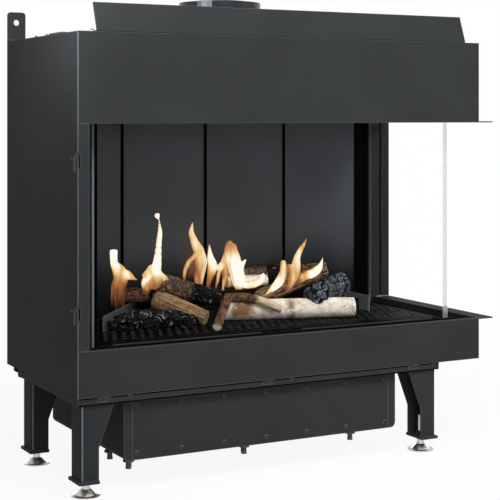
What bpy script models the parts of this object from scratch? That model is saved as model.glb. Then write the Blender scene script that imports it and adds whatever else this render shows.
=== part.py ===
"""Corner gas fireplace: two panes at right angles, burner and log set, gas train below.

Metres, +Z up. The wide pane faces -Y and the narrow pane faces +X. The origin lies on
the floor, midway along and across the fireplace's outline.
"""

import math

import bmesh
import bpy
from mathutils import Matrix, Vector

MM = 0.001

# Clearances, and how far shapes reach into or past each other in a join or a cut
GAP = 0.3 * MM
BITE = 1 * MM
OVERRUN = 10 * MM
MERGE_DISTANCE = 0.003 * MM

# Sheet metal
SHEET = 2 * MM
PLATE = 3 * MM
SHEET_BEND = 2.5 * MM
LEG_BEND = 4 * MM

# Casing
CASING_WIDTH = 1058 * MM
CASING_DEPTH = 478 * MM
LOWER_PANEL_HEIGHT = 100 * MM
OPENING_HEIGHT = 485 * MM
UPPER_PANEL_HEIGHT = 197 * MM
POST_WIDTH = 25 * MM
HEAD_LIP = 40 * MM
SILL_LIP = 12 * MM
FLANGE_REACH = 42 * MM
FLANGE_SETBACK = 16 * MM

# Hooks and headed pins on the left edge, for a trim frame
HOOK_HEIGHT = 38 * MM
HOOK_REACH = 11 * MM
HOOK_ARM = 4 * MM
HOOK_NECK = 8 * MM
HOOK_SLOT = 4 * MM
HOOK_SLOT_DEPTH = 8 * MM
HOOK_DROP = 75 * MM
HOOK_RISE = 85.5 * MM
PIN_REACH = 12 * MM
PIN_SETBACK = 16.5 * MM
PIN_RADIUS = 2 * MM
PIN_HEAD_RADIUS = 3.5 * MM
PIN_HEAD = 2.5 * MM

# Post and trim flange at the rear end of the narrow pane
REAR_POST_INSET = 25 * MM
REAR_POST_REACH = 11 * MM
TRIM_SLIT = 5 * MM

# Air deflector and wall brackets on the casing top
DEFLECTOR_HEIGHT = 64 * MM
DEFLECTOR_LEAN = 23 * MM
DEFLECTOR_FOOT = 29 * MM
DEFLECTOR_SETBACK = 1 * MM
DEFLECTOR_INSET = 42 * MM
BRACKET_WIDTH = 45.6 * MM
BRACKET_HEIGHT = 71 * MM
BRACKET_FOOT = 30 * MM
BRACKET_CORNER = 8 * MM
BRACKET_HOLE_RADIUS = 7 * MM
BRACKET_HOLE_HEIGHT = 45.6 * MM

# Balanced flue
FLUE_X = 470 * MM
FLUE_Y = 265 * MM
FLUE_WALL = 1.5 * MM
FLUE_OUTER_RADIUS = 100 * MM
FLUE_OUTER_RISE = 94 * MM
FLUE_INNER_RADIUS = 65 * MM
FLUE_INNER_RISE = 98.5 * MM
OUTER_COLLAR = 18 * MM
INNER_COLLAR = 15 * MM
TOP_HOLE_MARGIN = 3 * MM

# Stand: underframe, legs and levelling feet
FOOT_HEIGHT = 30.6 * MM
LEG_HEIGHT = 168.4 * MM
UNDERFRAME_HEIGHT = 17 * MM
UNDERFRAME_END_INSET = 121 * MM
UNDERFRAME_REAR_INSET = 81 * MM
UNDERFRAME_SETBACK = 3 * MM
RAIL_WIDTH = 20 * MM
RAIL_STEP = 8.5 * MM
RAIL_SHELF = 31 * MM
LEG_INSET = 8 * MM
LEG_WIDTH = 42 * MM
LEG_DEPTH = 57 * MM
REAR_LEG_INSET = 17 * MM
LEG_FLARE = 35 * MM
LEG_FLARE_HEIGHT = 93 * MM
END_PLATE = 6.4 * MM
END_PLATE_OUTER = 4.5 * MM
END_PLATE_SIDE = 5.5 * MM
FOOT_INSET = 23 * MM
NUT_RADIUS = 11 * MM
NUT_HEIGHT = 9 * MM
FOOT_RIM_RADIUS = 32 * MM
FOOT_RIM = 2 * MM
FOOT_CONE_RADIUS = 22.5 * MM
FOOT_CONE_BASE = 3.5 * MM
FOOT_CONE_TOP_RADIUS = 10.5 * MM
FOOT_CONE_TOP = 15 * MM
FOOT_SHANK_RADIUS = 8.7 * MM
FOOT_THREAD_RADIUS = 6 * MM
FOOT_THREAD_TOP = 85 * MM

# Control box under the casing
BOX_INSET = 112 * MM
BOX_END_INSET = 238 * MM
BOX_SETBACK = 20 * MM
BOX_REAR_INSET = 13 * MM
BOX_HEIGHT = 132 * MM
BOX_CORNER = 12 * MM
COVER_MARGIN = 20.7 * MM
WINDOW_MARGIN = 18 * MM
UNDER_BOLT_LENGTH = 15 * MM
UNDER_BOLT_RADIUS = 3 * MM
UNDER_NUT_RADIUS = 6.5 * MM
UNDER_NUT_HEIGHT = 5 * MM
UNDER_BOLT_SHARES = ((0.03, 0.03), (0.06, 0.22), (0.42, 0.03), (0.83, 0.03))

# Gas train in the control box
VALVE_INSET = 300 * MM
VALVE_SETBACK = 80 * MM
VALVE_LENGTH = 108 * MM
VALVE_DEPTH = 65 * MM
VALVE_HEIGHT = 56 * MM
REGULATOR_RADIUS = 16 * MM
REGULATOR_HEIGHT = 12 * MM
REGULATOR_X = 26 * MM
SPINDLE_RADIUS = 3 * MM
SPINDLE_LENGTH = 16 * MM
CONTROL_HEIGHT = 31 * MM
FLAME_KNOB_X = 26 * MM
FLAME_KNOB_RADIUS = 14 * MM
FLAME_KNOB_LENGTH = 18 * MM
MANUAL_KNOB_X = 60 * MM
MANUAL_KNOB_RADIUS = 10 * MM
MANUAL_KNOB_LENGTH = 16 * MM
KNOB_CLEARANCE = 2 * MM
GRIP_WIDTH = 3 * MM
GRIP_HEIGHT = 4 * MM
BUTTON_X = 88 * MM
BUTTON_RADIUS = 5 * MM
BUTTON_SEAT = 6 * MM
BUTTON_TRAVEL = 3 * MM
BUTTON_STANDOUT = 14 * MM
BUTTON_HEAD = 3 * MM
BUTTON_HEAD_RADIUS = 7.5 * MM
INLET_X = 54 * MM
INLET_HEIGHT = 26 * MM
INLET_RADIUS = 7 * MM
INLET_BORE = 5 * MM
INLET_NUT_RADIUS = 12 * MM
INLET_NUT_LENGTH = 8 * MM
OUTLET_X = 88 * MM
OUTLET_Y = 40 * MM
SUPPLY_RADIUS = 6 * MM
SUPPLY_BORE = 4 * MM
SUPPLY_TOP = 244 * MM
INJECTOR_LENGTH = 6 * MM
INJECTOR_RADIUS = 3 * MM
INJECTOR_BORE = 1 * MM
PIPE_HOLE_RADIUS = 10 * MM
RECEIVER_OFFSET = 30 * MM
RECEIVER_SETBACK = 30 * MM
RECEIVER_LENGTH = 100 * MM
RECEIVER_DEPTH = 70 * MM
RECEIVER_HEIGHT = 30 * MM
SWITCH_LENGTH = 20 * MM
SWITCH_DEPTH = 10 * MM
SWITCH_HEIGHT = 4 * MM

# Combustion chamber
CHAMBER_INSET = 62 * MM
CHAMBER_SETBACK = 78 * MM
CHAMBER_END_INSET = 29 * MM
CHAMBER_REAR_INSET = 32 * MM
HEARTH_WALL = 79.7 * MM
CHANNEL_WIDTH = 19 * MM
CHANNEL_LIP = 9 * MM
GLASS_HEADROOM = 8.3 * MM
ROOF_BACK = 4 * MM
ROOF_LIP = 18.3 * MM
ROOF_LIP_SETBACK = 1 * MM
GLASS = 5 * MM
GLASS_OFFSET = 6 * MM
GLASS_END_OFFSET = 5 * MM
GLASS_HEIGHT = 549.7 * MM
LEFT_POST_RISE = 5 * MM
LEFT_POST_OUTER = 6 * MM
LEFT_POST_INNER = 17 * MM
REAR_GLASS_POST_DEPTH = 14.7 * MM
CLIP_HEIGHT = 36.7 * MM
CLIP_FRONT = 16 * MM
CLIP_SIDE = 15 * MM
LINER = 16 * MM
BACK_PANEL_SHARES = ((0.0, 0.238), (0.242, 0.491), (0.496, 0.745), (0.75, 1.0))
BACK_END_INSET = 55 * MM

# Burner
BURNER_INSET = 85 * MM
BURNER_SETBACK = 105 * MM
BURNER_END_INSET = 54 * MM
BURNER_REAR_INSET = 50 * MM
BURNER_RISE = 87.7 * MM
PAN_DEPTH = 45.7 * MM
PORT_RADIUS = 5 * MM
PORT_PITCH_X = 70 * MM
PORT_PITCH_Y = 55 * MM
PORT_MARGIN = 26 * MM
RUNNER_WIDTH = 10 * MM
RUNNER_INSET = 115 * MM
RUNNER_SETBACK = 15 * MM
MIXER_RADIUS = 14 * MM
MIXER_LENGTH = 16 * MM
SHUTTER_WALL = 2.2 * MM
SHUTTER_LENGTH = 12 * MM
SHUTTER_SETBACK = 2 * MM
AIR_SLOT_WIDTH = 10 * MM
AIR_SLOT_HEIGHT = 6 * MM
PILOT_SHARES = (0.658, 0.604)
PILOT_LENGTH = 22 * MM
PILOT_DEPTH = 24 * MM
PILOT_FOOT = 8 * MM
PILOT_HEIGHT = 34 * MM
PILOT_RADIUS = 6 * MM
ELECTRODE_RADIUS = 1.5 * MM
ELECTRODE_SPACING = 13 * MM

# Log guards and shelf: the shares are places on the log set's length and depth
LEFT_GUARD_SHARES = ((0.087, 0.505), (0.2535, 1.0))
RIGHT_GUARD_SHARES = ((0.893, 0.495), (0.893, 0.99))
GUARD_NEAR = 35.7 * MM
GUARD_FAR = 46.2 * MM
GUARD_WINDOW = 27 * MM
GUARD_WINDOW_SHARES = (0.3, 0.72)
RIGHT_GUARD_HEIGHT = 39.7 * MM
SHELF_INSET = 271 * MM
SHELF_END_INSET = 154 * MM
SHELF_DEPTH = 93 * MM
SHELF_HEIGHT = 68 * MM
REST_OFFSET = 74 * MM
REST_LENGTH = 45 * MM
REST_DEPTH = 45 * MM
REST_HEIGHT = 39 * MM

# Logs: each point is a share of the set's length and depth and of the pile's height, then
# a share of the log radius. The set has this size on the burner that it is made for, and is
# as much smaller as a smaller burner is.
LOG_SET_LENGTH = 919 * MM
LOG_SET_DEPTH = 323 * MM
LOG_RADIUS = 25 * MM
LOG_PILE_HEIGHT = 120 * MM
LOG_SIDES = 10
LOG_STATIONS = 3
LOG_UNEVENNESS_SHARE = 0.05
LOG_SHARES = {
    "log_charred_front": (
        (0.11, 0.52, 0.09, 0.44), (0.155, 0.51, 0.17, 0.84), (0.245, 0.475, 0.18, 0.88), (0.34, 0.435, 0.1, 0.5)
    ),
    "log_birch_front": ((0.45, 0.585, 0.215, 1.06), (0.8, 0.305, 0.215, 1.06)),
    "log_dark_left": ((0.215, 0.925, 0.53, 0.72), (0.29, 0.845, 0.53, 0.72)),
    "log_split": ((0.275, 0.745, 0.46, 0.86), (0.37, 0.46, 0.115, 0.56)),
    "log_rear_left": ((0.28, 0.765, 0.81, 1.0), (0.43, 0.6, 0.46, 0.88)),
    "twig_forked": ((0.35, 0.15, 0.09, 0.44), (0.4, 0.31, 0.39, 0.46), (0.455, 0.555, 0.49, 0.48)),
    "log_charred_right": ((0.695, 0.48, 0.505, 0.96), (0.825, 0.59, 0.65, 1.08)),
    "log_brown_right": ((0.565, 0.605, 0.425, 0.8), (0.775, 0.67, 0.865, 0.8)),
    "log_birch_rear": ((0.51, 0.865, 0.69, 0.64), (0.62, 0.83, 0.69, 0.64)),
    "log_rear_mid": ((0.58, 0.93, 0.8, 0.76), (0.68, 0.91, 0.83, 0.76)),
    "stick_rear": ((0.735, 0.76, 0.925, 0.44), (0.8, 0.76, 0.94, 0.42)),
}
TWIG_BRANCH_SHARES = ((0.42, 0.385, 0.42, 0.32), (0.525, 0.445, 0.375, 0.32), (0.58, 0.38, 0.235, 0.3))

# Angles in degrees below which neighbouring faces are shaded smooth, and counts
SMOOTH_ANGLE = 35
LOG_SMOOTH_ANGLE = 60
BEND_STEPS = 3
NUT_SIDES = 6
SMALL_SIDES = 8
BOLT_SIDES = 12
ROUND_STEPS = 24
FLUE_STEPS = 48
PORT_SIDES = 6

# Places worked out from the sizes above
LEFT = PIN_REACH - (CASING_WIDTH + FLANGE_REACH + PIN_REACH) / 2
RIGHT = LEFT + CASING_WIDTH
FRONT = -CASING_DEPTH / 2
REAR = CASING_DEPTH / 2
LEG_BASE = FOOT_HEIGHT
FRAME_BASE = LEG_BASE + LEG_HEIGHT
CASING_BASE = FRAME_BASE + UNDERFRAME_HEIGHT
SILL = CASING_BASE + LOWER_PANEL_HEIGHT
HEAD = SILL + OPENING_HEIGHT
CASING_TOP = HEAD + UPPER_PANEL_HEIGHT
CHAMBER_LEFT = LEFT + CHAMBER_INSET
CHAMBER_RIGHT = RIGHT - CHAMBER_END_INSET
CHAMBER_FRONT = FRONT + CHAMBER_SETBACK
CHAMBER_REAR = REAR - CHAMBER_REAR_INSET
BACK_LENGTH = CHAMBER_RIGHT - BACK_END_INSET - CHAMBER_LEFT
HEARTH_BASE = CASING_BASE + SHEET + GAP
HEARTH_WALL_TOP = HEARTH_BASE + HEARTH_WALL - GAP
CHANNEL_BASE = HEARTH_BASE + HEARTH_WALL
CHANNEL_FLOOR = CHANNEL_BASE + SHEET
CHANNEL_TOP = CHANNEL_FLOOR + CHANNEL_LIP
ROOF_BASE = CHANNEL_FLOOR + GAP + GLASS_HEIGHT + GLASS_HEADROOM
ROOF_TOP = ROOF_BASE + SHEET
BURNER_LEFT = LEFT + BURNER_INSET
BURNER_FRONT = FRONT + BURNER_SETBACK
BURNER_RIGHT = RIGHT - BURNER_END_INSET
BURNER_REAR = REAR - BURNER_REAR_INSET
BURNER_LENGTH = BURNER_RIGHT - BURNER_LEFT
BURNER_DEPTH = BURNER_REAR - BURNER_FRONT
PLATE_BASE = HEARTH_BASE + SHEET + BURNER_RISE
PLATE_TOP = PLATE_BASE + SHEET
PAN_TOP = PLATE_BASE - GAP
PAN_BASE = PAN_TOP - PAN_DEPTH
SET_SCALE = min(BURNER_LENGTH / LOG_SET_LENGTH, BURNER_DEPTH / LOG_SET_DEPTH)
SET_LENGTH = LOG_SET_LENGTH * SET_SCALE
SET_DEPTH = LOG_SET_DEPTH * SET_SCALE
SET_LEFT = (BURNER_LEFT + BURNER_RIGHT - SET_LENGTH) / 2
SET_FRONT = (BURNER_FRONT + BURNER_REAR - SET_DEPTH) / 2
SHELF_LEFT = SET_LEFT + SHELF_INSET * SET_SCALE
SHELF_RIGHT = SET_LEFT + SET_LENGTH - SHELF_END_INSET * SET_SCALE
SHELF_REAR = SET_FRONT + SET_DEPTH
SHELF_FRONT = SHELF_REAR - SHELF_DEPTH * SET_SCALE
SHELF_TOP = PLATE_TOP + SHELF_HEIGHT * SET_SCALE
REST_LEFT = SHELF_LEFT + REST_OFFSET * SET_SCALE
REST_RIGHT = REST_LEFT + REST_LENGTH * SET_SCALE
REST_FRONT = SHELF_FRONT - REST_DEPTH * SET_SCALE
REST_TOP = PLATE_TOP + REST_HEIGHT * SET_SCALE
GLASS_FRONT = CHAMBER_FRONT + SHEET + GLASS_OFFSET
GLASS_RIGHT = CHAMBER_RIGHT - SHEET - GLASS_END_OFFSET
BOX_LEFT = LEFT + BOX_INSET
BOX_RIGHT = RIGHT - BOX_END_INSET
BOX_FRONT = FRONT + BOX_SETBACK
BOX_REAR = REAR - BOX_REAR_INSET
BOX_LENGTH = BOX_RIGHT - BOX_LEFT
BOX_DEPTH = BOX_REAR - BOX_FRONT
BOX_TOP = FRAME_BASE - GAP
BOX_BASE = FRAME_BASE - BOX_HEIGHT
BOX_FLOOR = BOX_BASE + SHEET
VALVE_LEFT = BOX_LEFT + VALVE_INSET
VALVE_FRONT = BOX_FRONT + VALVE_SETBACK
VALVE_REAR = VALVE_FRONT + VALVE_DEPTH
VALVE_BASE = BOX_FLOOR + GAP
VALVE_TOP = VALVE_BASE + VALVE_HEIGHT
CONTROL_Z = VALVE_BASE + CONTROL_HEIGHT
INLET_CENTRE_X = VALVE_LEFT + INLET_X
INLET_Z = VALVE_BASE + INLET_HEIGHT
SUPPLY_X = VALVE_LEFT + OUTLET_X
SUPPLY_Y = VALVE_FRONT + OUTLET_Y
FLUE_CENTRE = (LEFT + FLUE_X, FRONT + FLUE_Y)
FRAME_LEFT = LEFT
FRAME_RIGHT = RIGHT - UNDERFRAME_END_INSET
FRAME_FRONT = FRONT + UNDERFRAME_SETBACK
FRAME_REAR = REAR - UNDERFRAME_REAR_INSET
FRAME_TOP = CASING_BASE - GAP
LEG_TOP = FRAME_BASE - GAP

# Looks: colour, roughness, metallic
ANTHRACITE = ((0.052, 0.054, 0.058), 0.55, 0.3)
CHAMBER_BLACK = ((0.03, 0.03, 0.032), 0.7, 0.2)
DARK_FLUE = ((0.06, 0.055, 0.05), 0.25, 0.9)
CHROME = ((0.75, 0.76, 0.78), 0.15, 1.0)
DARK_STEEL = ((0.09, 0.09, 0.1), 0.4, 0.8)
GLASS_LOOK = ((0.85, 0.9, 0.88), 0.02, 0.0)
VALVE_ALLOY = ((0.55, 0.55, 0.56), 0.45, 0.9)
COPPER = ((0.72, 0.42, 0.28), 0.3, 1.0)
BLACK_PLASTIC = ((0.02, 0.02, 0.02), 0.5, 0.0)
RED_PLASTIC = ((0.4, 0.03, 0.02), 0.45, 0.0)
WHITE_CERAMIC = ((0.8, 0.79, 0.76), 0.3, 0.0)
CHARRED = ((0.03, 0.025, 0.022), 0.9, 0.0)
BIRCH = ((0.52, 0.46, 0.38), 0.85, 0.0)
BROWN_BARK = ((0.16, 0.09, 0.05), 0.9, 0.0)


def principled(name, look):
    """A material with one Principled BSDF."""
    colour, roughness, metallic = look
    material = bpy.data.materials.new(name)
    material.use_nodes = True
    shader = material.node_tree.nodes["Principled BSDF"]
    shader.inputs["Base Color"].default_value = (*colour, 1.0)
    shader.inputs["Roughness"].default_value = roughness
    shader.inputs["Metallic"].default_value = metallic
    material.diffuse_color = (*colour, 1.0)
    return material


def add_object(name, bm, look=None):
    """Turns a bmesh, modelled in world coordinates, into an object."""
    bmesh.ops.recalc_face_normals(bm, faces=bm.faces)
    mesh = bpy.data.meshes.new(name)
    bm.to_mesh(mesh)
    bm.free()
    obj = bpy.data.objects.new(name, mesh)
    bpy.context.scene.collection.objects.link(obj)
    if look:
        mesh.materials.append(principled(f"{name}_finish", look))
    return obj


def combine(target, others, operation):
    """Applies one Boolean after another to the target, and takes the other objects away."""
    for other in others:
        modifier = target.modifiers.new(other.name, "BOOLEAN")
        modifier.operation = operation
        modifier.solver = "EXACT"
        modifier.object = other
    graph = bpy.context.evaluated_depsgraph_get()
    result = bpy.data.meshes.new_from_object(target.evaluated_get(graph))
    target.modifiers.clear()
    spent = target.data
    target.data = result
    bpy.data.meshes.remove(spent)
    result.name = target.name
    for other in others:
        bpy.data.objects.remove(other)
    return target


def cut(target, *cutters):
    return combine(target, cutters, "DIFFERENCE")


def fuse(target, *others):
    return combine(target, others, "UNION")


def smooth(obj, degrees=SMOOTH_ANGLE):
    obj.data.shade_smooth()
    obj.data.set_sharp_from_angle(angle=math.radians(degrees))
    return obj


def set_origin(obj, point):
    """Moves the object's origin to a point and leaves its shape where it is."""
    obj.data.transform(Matrix.Translation(-Vector(point)))
    obj.location = point
    return obj


def in_space(plane, u, v, along):
    """The point with coordinates u and v in a plane, at a place along the plane's normal."""
    places = {"XY": (u, v, along), "XZ": (u, along, v), "YZ": (along, u, v)}
    return Vector(places[plane])


def prism(name, plane, outline, start, end, look=None):
    """An outline in a plane, extruded from start to end along the plane's normal."""
    bm = bmesh.new()
    face = bm.faces.new([bm.verts.new(in_space(plane, u, v, start)) for u, v in outline])
    extruded = bmesh.ops.extrude_face_region(bm, geom=[face])["geom"]
    moved = [element for element in extruded if isinstance(element, bmesh.types.BMVert)]
    bmesh.ops.translate(bm, verts=moved, vec=in_space(plane, 0, 0, end - start))
    return add_object(name, bm, look)


def block(name, x, y, z, look=None):
    """A box between the low and high values of each axis."""
    outline = [(x[0], y[0]), (x[1], y[0]), (x[1], y[1]), (x[0], y[1])]
    return prism(name, "XY", outline, z[0], z[1], look)


def ring_points(centre, radius, sides, turn=0.0):
    """Points evenly round a circle, the first one turned by an angle."""
    angles = [turn + 2 * math.pi * step / sides for step in range(sides)]
    return [(centre[0] + radius * math.cos(a), centre[1] + radius * math.sin(a)) for a in angles]


def rod(name, plane, centre, radius, start, end, look=None, sides=ROUND_STEPS):
    """A round or, with few sides, a prismatic bar along the plane's normal."""
    return prism(name, plane, ring_points(centre, radius, sides), start, end, look)


def turned(name, plane, centre, profile, look=None, steps=ROUND_STEPS):
    """A closed profile of (radius, place along the axis), turned about the plane's normal."""
    bm = bmesh.new()
    verts = [bm.verts.new(in_space(plane, centre[0] + radius, centre[1], along)) for radius, along in profile]
    on_axis = [radius == 0 for radius, along in profile]
    edges = [
        bm.edges.new((verts[i - 1], verts[i]))
        for i in range(len(verts))
        if not (on_axis[i - 1] and on_axis[i])
    ]
    bmesh.ops.spin(
        bm,
        geom=verts + edges,
        cent=in_space(plane, centre[0], centre[1], 0),
        axis=in_space(plane, 0, 0, 1),
        angle=2 * math.pi,
        steps=steps,
        use_merge=True,
    )
    bmesh.ops.remove_doubles(bm, verts=bm.verts, dist=MERGE_DISTANCE)
    return smooth(add_object(name, bm, look))


def rounded_line(path, radius_left, radius_right):
    """Points along a path whose corners are arcs, with one radius for each way of turning."""
    points = [Vector(path[0])]
    for before, corner, after in zip(path, path[1:], path[2:]):
        into = (Vector(corner) - Vector(before)).normalized()
        out = (Vector(after) - Vector(corner)).normalized()
        angle = math.atan2(into.x * out.y - into.y * out.x, into.dot(out))
        side = math.copysign(1, angle)
        radius = radius_left if side > 0 else radius_right
        normal_in = Vector((-into.y, into.x))
        normal_out = Vector((-out.y, out.x))
        centre = Vector(corner) + side * radius * (normal_in + normal_out) / (1 + normal_in.dot(normal_out))
        if radius == 0:
            points.append(centre)
            continue
        for step in range(BEND_STEPS + 1):
            turn = Matrix.Rotation(angle * step / BEND_STEPS, 2)
            points.append(centre - side * radius * (turn @ normal_in))
    points.append(Vector(path[-1]))
    return points


def offset_path(path, distance):
    """The path moved to its left by a distance."""
    moved = []
    for i, point in enumerate(path):
        normals = []
        for start, end in zip(path[max(i - 1, 0):i + 2], path[max(i - 1, 0) + 1:i + 2]):
            way = (Vector(end) - Vector(start)).normalized()
            normals.append(Vector((-way.y, way.x)))
        shift = sum(normals, Vector((0, 0))) / (1 + normals[0].dot(normals[-1]))
        if len(normals) == 1:
            shift = normals[0]
        moved.append(Vector(point) + distance * shift)
    return moved


def folded(name, plane, path, thickness, bend, start, end, look):
    """A sheet folded along a path in a plane, with its thickness on the path's left."""
    near = rounded_line(path, bend, bend - thickness)
    far = rounded_line(offset_path(path, thickness), bend - thickness, bend)
    return prism(name, plane, near + far[::-1], start, end, look)


def left_side_panel():
    path = [(LEFT, REAR), (LEFT, FRONT), (LEFT + POST_WIDTH, FRONT)]
    panel = folded("left_side_panel", "XY", path, SHEET, SHEET_BEND, CASING_BASE, CASING_TOP, ANTHRACITE)
    notch_x = (LEFT - OVERRUN, LEFT + POST_WIDTH + OVERRUN)
    notch_y = (FRONT - OVERRUN, FRONT + SHEET + GAP)
    below = block("sill_notch", notch_x, notch_y, (CASING_BASE - OVERRUN, SILL + GAP))
    above = block("head_notch", notch_x, notch_y, (HEAD - GAP, CASING_TOP + OVERRUN))
    cut(panel, below, above)
    for place, middle in (("upper", HEAD - HOOK_DROP), ("lower", SILL + HOOK_RISE)):
        slot_base = middle - HOOK_HEIGHT / 2
        slot_top = middle + HOOK_HEIGHT / 2
        slot = block(
            f"{place}_slot",
            (LEFT - OVERRUN, LEFT + HOOK_SLOT),
            (FRONT - OVERRUN, FRONT + HOOK_SLOT_DEPTH),
            (slot_base, slot_top),
        )
        cut(panel, slot)
        fuse(panel, hook(place, slot_base, slot_top), headed_pin(place, middle))
    return panel


def hook(place, base, top):
    """A hook lying in the plane of the panel's front return, reaching out to the left."""
    root = LEFT + HOOK_SLOT + HOOK_ARM
    shoulder = top - HOOK_ARM
    tip = base - HOOK_NECK
    outline = [
        (root, shoulder),
        (LEFT, shoulder),
        (LEFT - HOOK_REACH, shoulder - HOOK_REACH),
        (LEFT - HOOK_REACH, tip),
        (LEFT - HOOK_REACH + HOOK_ARM, tip),
        (LEFT - HOOK_REACH + HOOK_ARM, shoulder - HOOK_REACH - HOOK_ARM),
        (LEFT, shoulder - HOOK_NECK),
        (root, shoulder - HOOK_NECK),
    ]
    return prism(f"{place}_hook", "XZ", outline, FRONT, FRONT + SHEET)


def headed_pin(place, height):
    tip = LEFT - PIN_REACH
    profile = [
        (0, LEFT + BITE),
        (PIN_RADIUS, LEFT + BITE),
        (PIN_RADIUS, tip + PIN_HEAD),
        (PIN_HEAD_RADIUS, tip + PIN_HEAD),
        (PIN_HEAD_RADIUS, tip),
        (0, tip),
    ]
    return turned(f"{place}_pin", "YZ", (FRONT + PIN_SETBACK, height), profile, steps=ROUND_STEPS // 2)


def rear_panel():
    return block(
        "rear_panel",
        (LEFT + SHEET + GAP, RIGHT - SHEET - GAP),
        (REAR - SHEET, REAR),
        (CASING_BASE, CASING_TOP),
        ANTHRACITE,
    )


def level_plate(name, base):
    """A sheet that closes the casing from front to rear at one height."""
    return block(
        name,
        (LEFT + SHEET + GAP, RIGHT - SHEET - GAP),
        (FRONT + SHEET + GAP, REAR - SHEET - GAP),
        (base, base + SHEET),
        ANTHRACITE,
    )


def top_plate():
    plate = level_plate("top_plate", CASING_TOP - SHEET)
    hole = rod(
        "flue_hole", "XY", FLUE_CENTRE, FLUE_OUTER_RADIUS - TOP_HOLE_MARGIN,
        CASING_TOP - SHEET - OVERRUN, CASING_TOP + OVERRUN, sides=FLUE_STEPS,
    )
    return cut(plate, hole)


def pipe_hole(base, top):
    centre = (SUPPLY_X, SUPPLY_Y)
    return rod("pipe_hole", "XY", centre, PIPE_HOLE_RADIUS, base - OVERRUN, top + OVERRUN)


def floor_plate():
    return cut(level_plate("floor_plate", CASING_BASE), pipe_hole(CASING_BASE, CASING_BASE + SHEET))


def corner_panel(name, base, top, lip_base, lip_depth, flange_base):
    """A front panel folded round the right end, with a lip inside and a trim flange outside."""
    path = [(LEFT, FRONT), (RIGHT, FRONT), (RIGHT, REAR)]
    panel = folded(name, "XY", path, SHEET, SHEET_BEND, base, top, ANTHRACITE)
    lip = block(
        f"{name}_lip",
        (LEFT + SHEET + GAP, RIGHT - BITE),
        (FRONT + BITE, FRONT + lip_depth),
        (lip_base, lip_base + SHEET),
    )
    flange = block(
        f"{name}_flange",
        (RIGHT - BITE, RIGHT + FLANGE_REACH),
        (FRONT, REAR - FLANGE_SETBACK),
        (flange_base, flange_base + PLATE),
    )
    return fuse(panel, lip, flange)


def upper_casing_panel():
    return corner_panel("upper_casing_panel", HEAD, CASING_TOP, HEAD, HEAD_LIP, HEAD)


def lower_casing_panel():
    return corner_panel("lower_casing_panel", CASING_BASE, SILL, SILL - SHEET, SILL_LIP, SILL - PLATE)


def rear_corner_post():
    """Post behind the narrow pane and the trim flange beside it, folded from one sheet."""
    web = REAR - FLANGE_SETBACK + GAP
    back = REAR - SHEET
    post_left = RIGHT - REAR_POST_INSET
    post_right = RIGHT + REAR_POST_REACH
    slit_end = post_right + TRIM_SLIT
    path = [
        (post_left, back - GAP),
        (post_left, web),
        (post_right, web),
        (post_right, back),
        (slit_end, back),
        (slit_end, web),
        (RIGHT + FLANGE_REACH, web),
    ]
    return folded("rear_corner_post", "XY", path, SHEET, SHEET_BEND, SILL + GAP, HEAD - GAP, ANTHRACITE)


def top_deflector():
    base = CASING_TOP + GAP
    front = FRONT + DEFLECTOR_SETBACK
    path = [
        (front + DEFLECTOR_LEAN, base + DEFLECTOR_HEIGHT),
        (front, base),
        (front + DEFLECTOR_FOOT, base),
    ]
    start = LEFT + DEFLECTOR_INSET
    return folded("top_deflector", "YZ", path, SHEET, SHEET_BEND, start, RIGHT - DEFLECTOR_INSET, ANTHRACITE)


def wall_bracket(side, left):
    """An angle on the casing top that holds the fireplace to the wall through its hole."""
    right = left + BRACKET_WIDTH
    base = CASING_TOP + GAP
    top = CASING_TOP + BRACKET_HEIGHT
    path = [(left, base), (left, top), (right, top), (right, base)]
    outline = rounded_line(path, BRACKET_CORNER, BRACKET_CORNER)
    bracket = prism(f"wall_bracket_{side}", "XZ", outline, REAR - PLATE, REAR, ANTHRACITE)
    foot = block("bracket_foot", (left, right), (REAR - BRACKET_FOOT, REAR - BITE), (base, base + PLATE))
    fuse(bracket, foot)
    centre = ((left + right) / 2, CASING_TOP + BRACKET_HOLE_HEIGHT)
    hole = rod("bracket_hole", "XZ", centre, BRACKET_HOLE_RADIUS, REAR - PLATE - OVERRUN, REAR + OVERRUN)
    return cut(bracket, hole)


def flue_pipe(name, radius, collar, base, top):
    """A round duct on a flat collar."""
    inner = radius - FLUE_WALL
    profile = [
        (inner, base),
        (radius + collar, base),
        (radius + collar, base + SHEET),
        (radius, base + SHEET),
        (radius, top),
        (inner, top),
    ]
    return turned(name, "XY", FLUE_CENTRE, profile, DARK_FLUE, FLUE_STEPS)


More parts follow.
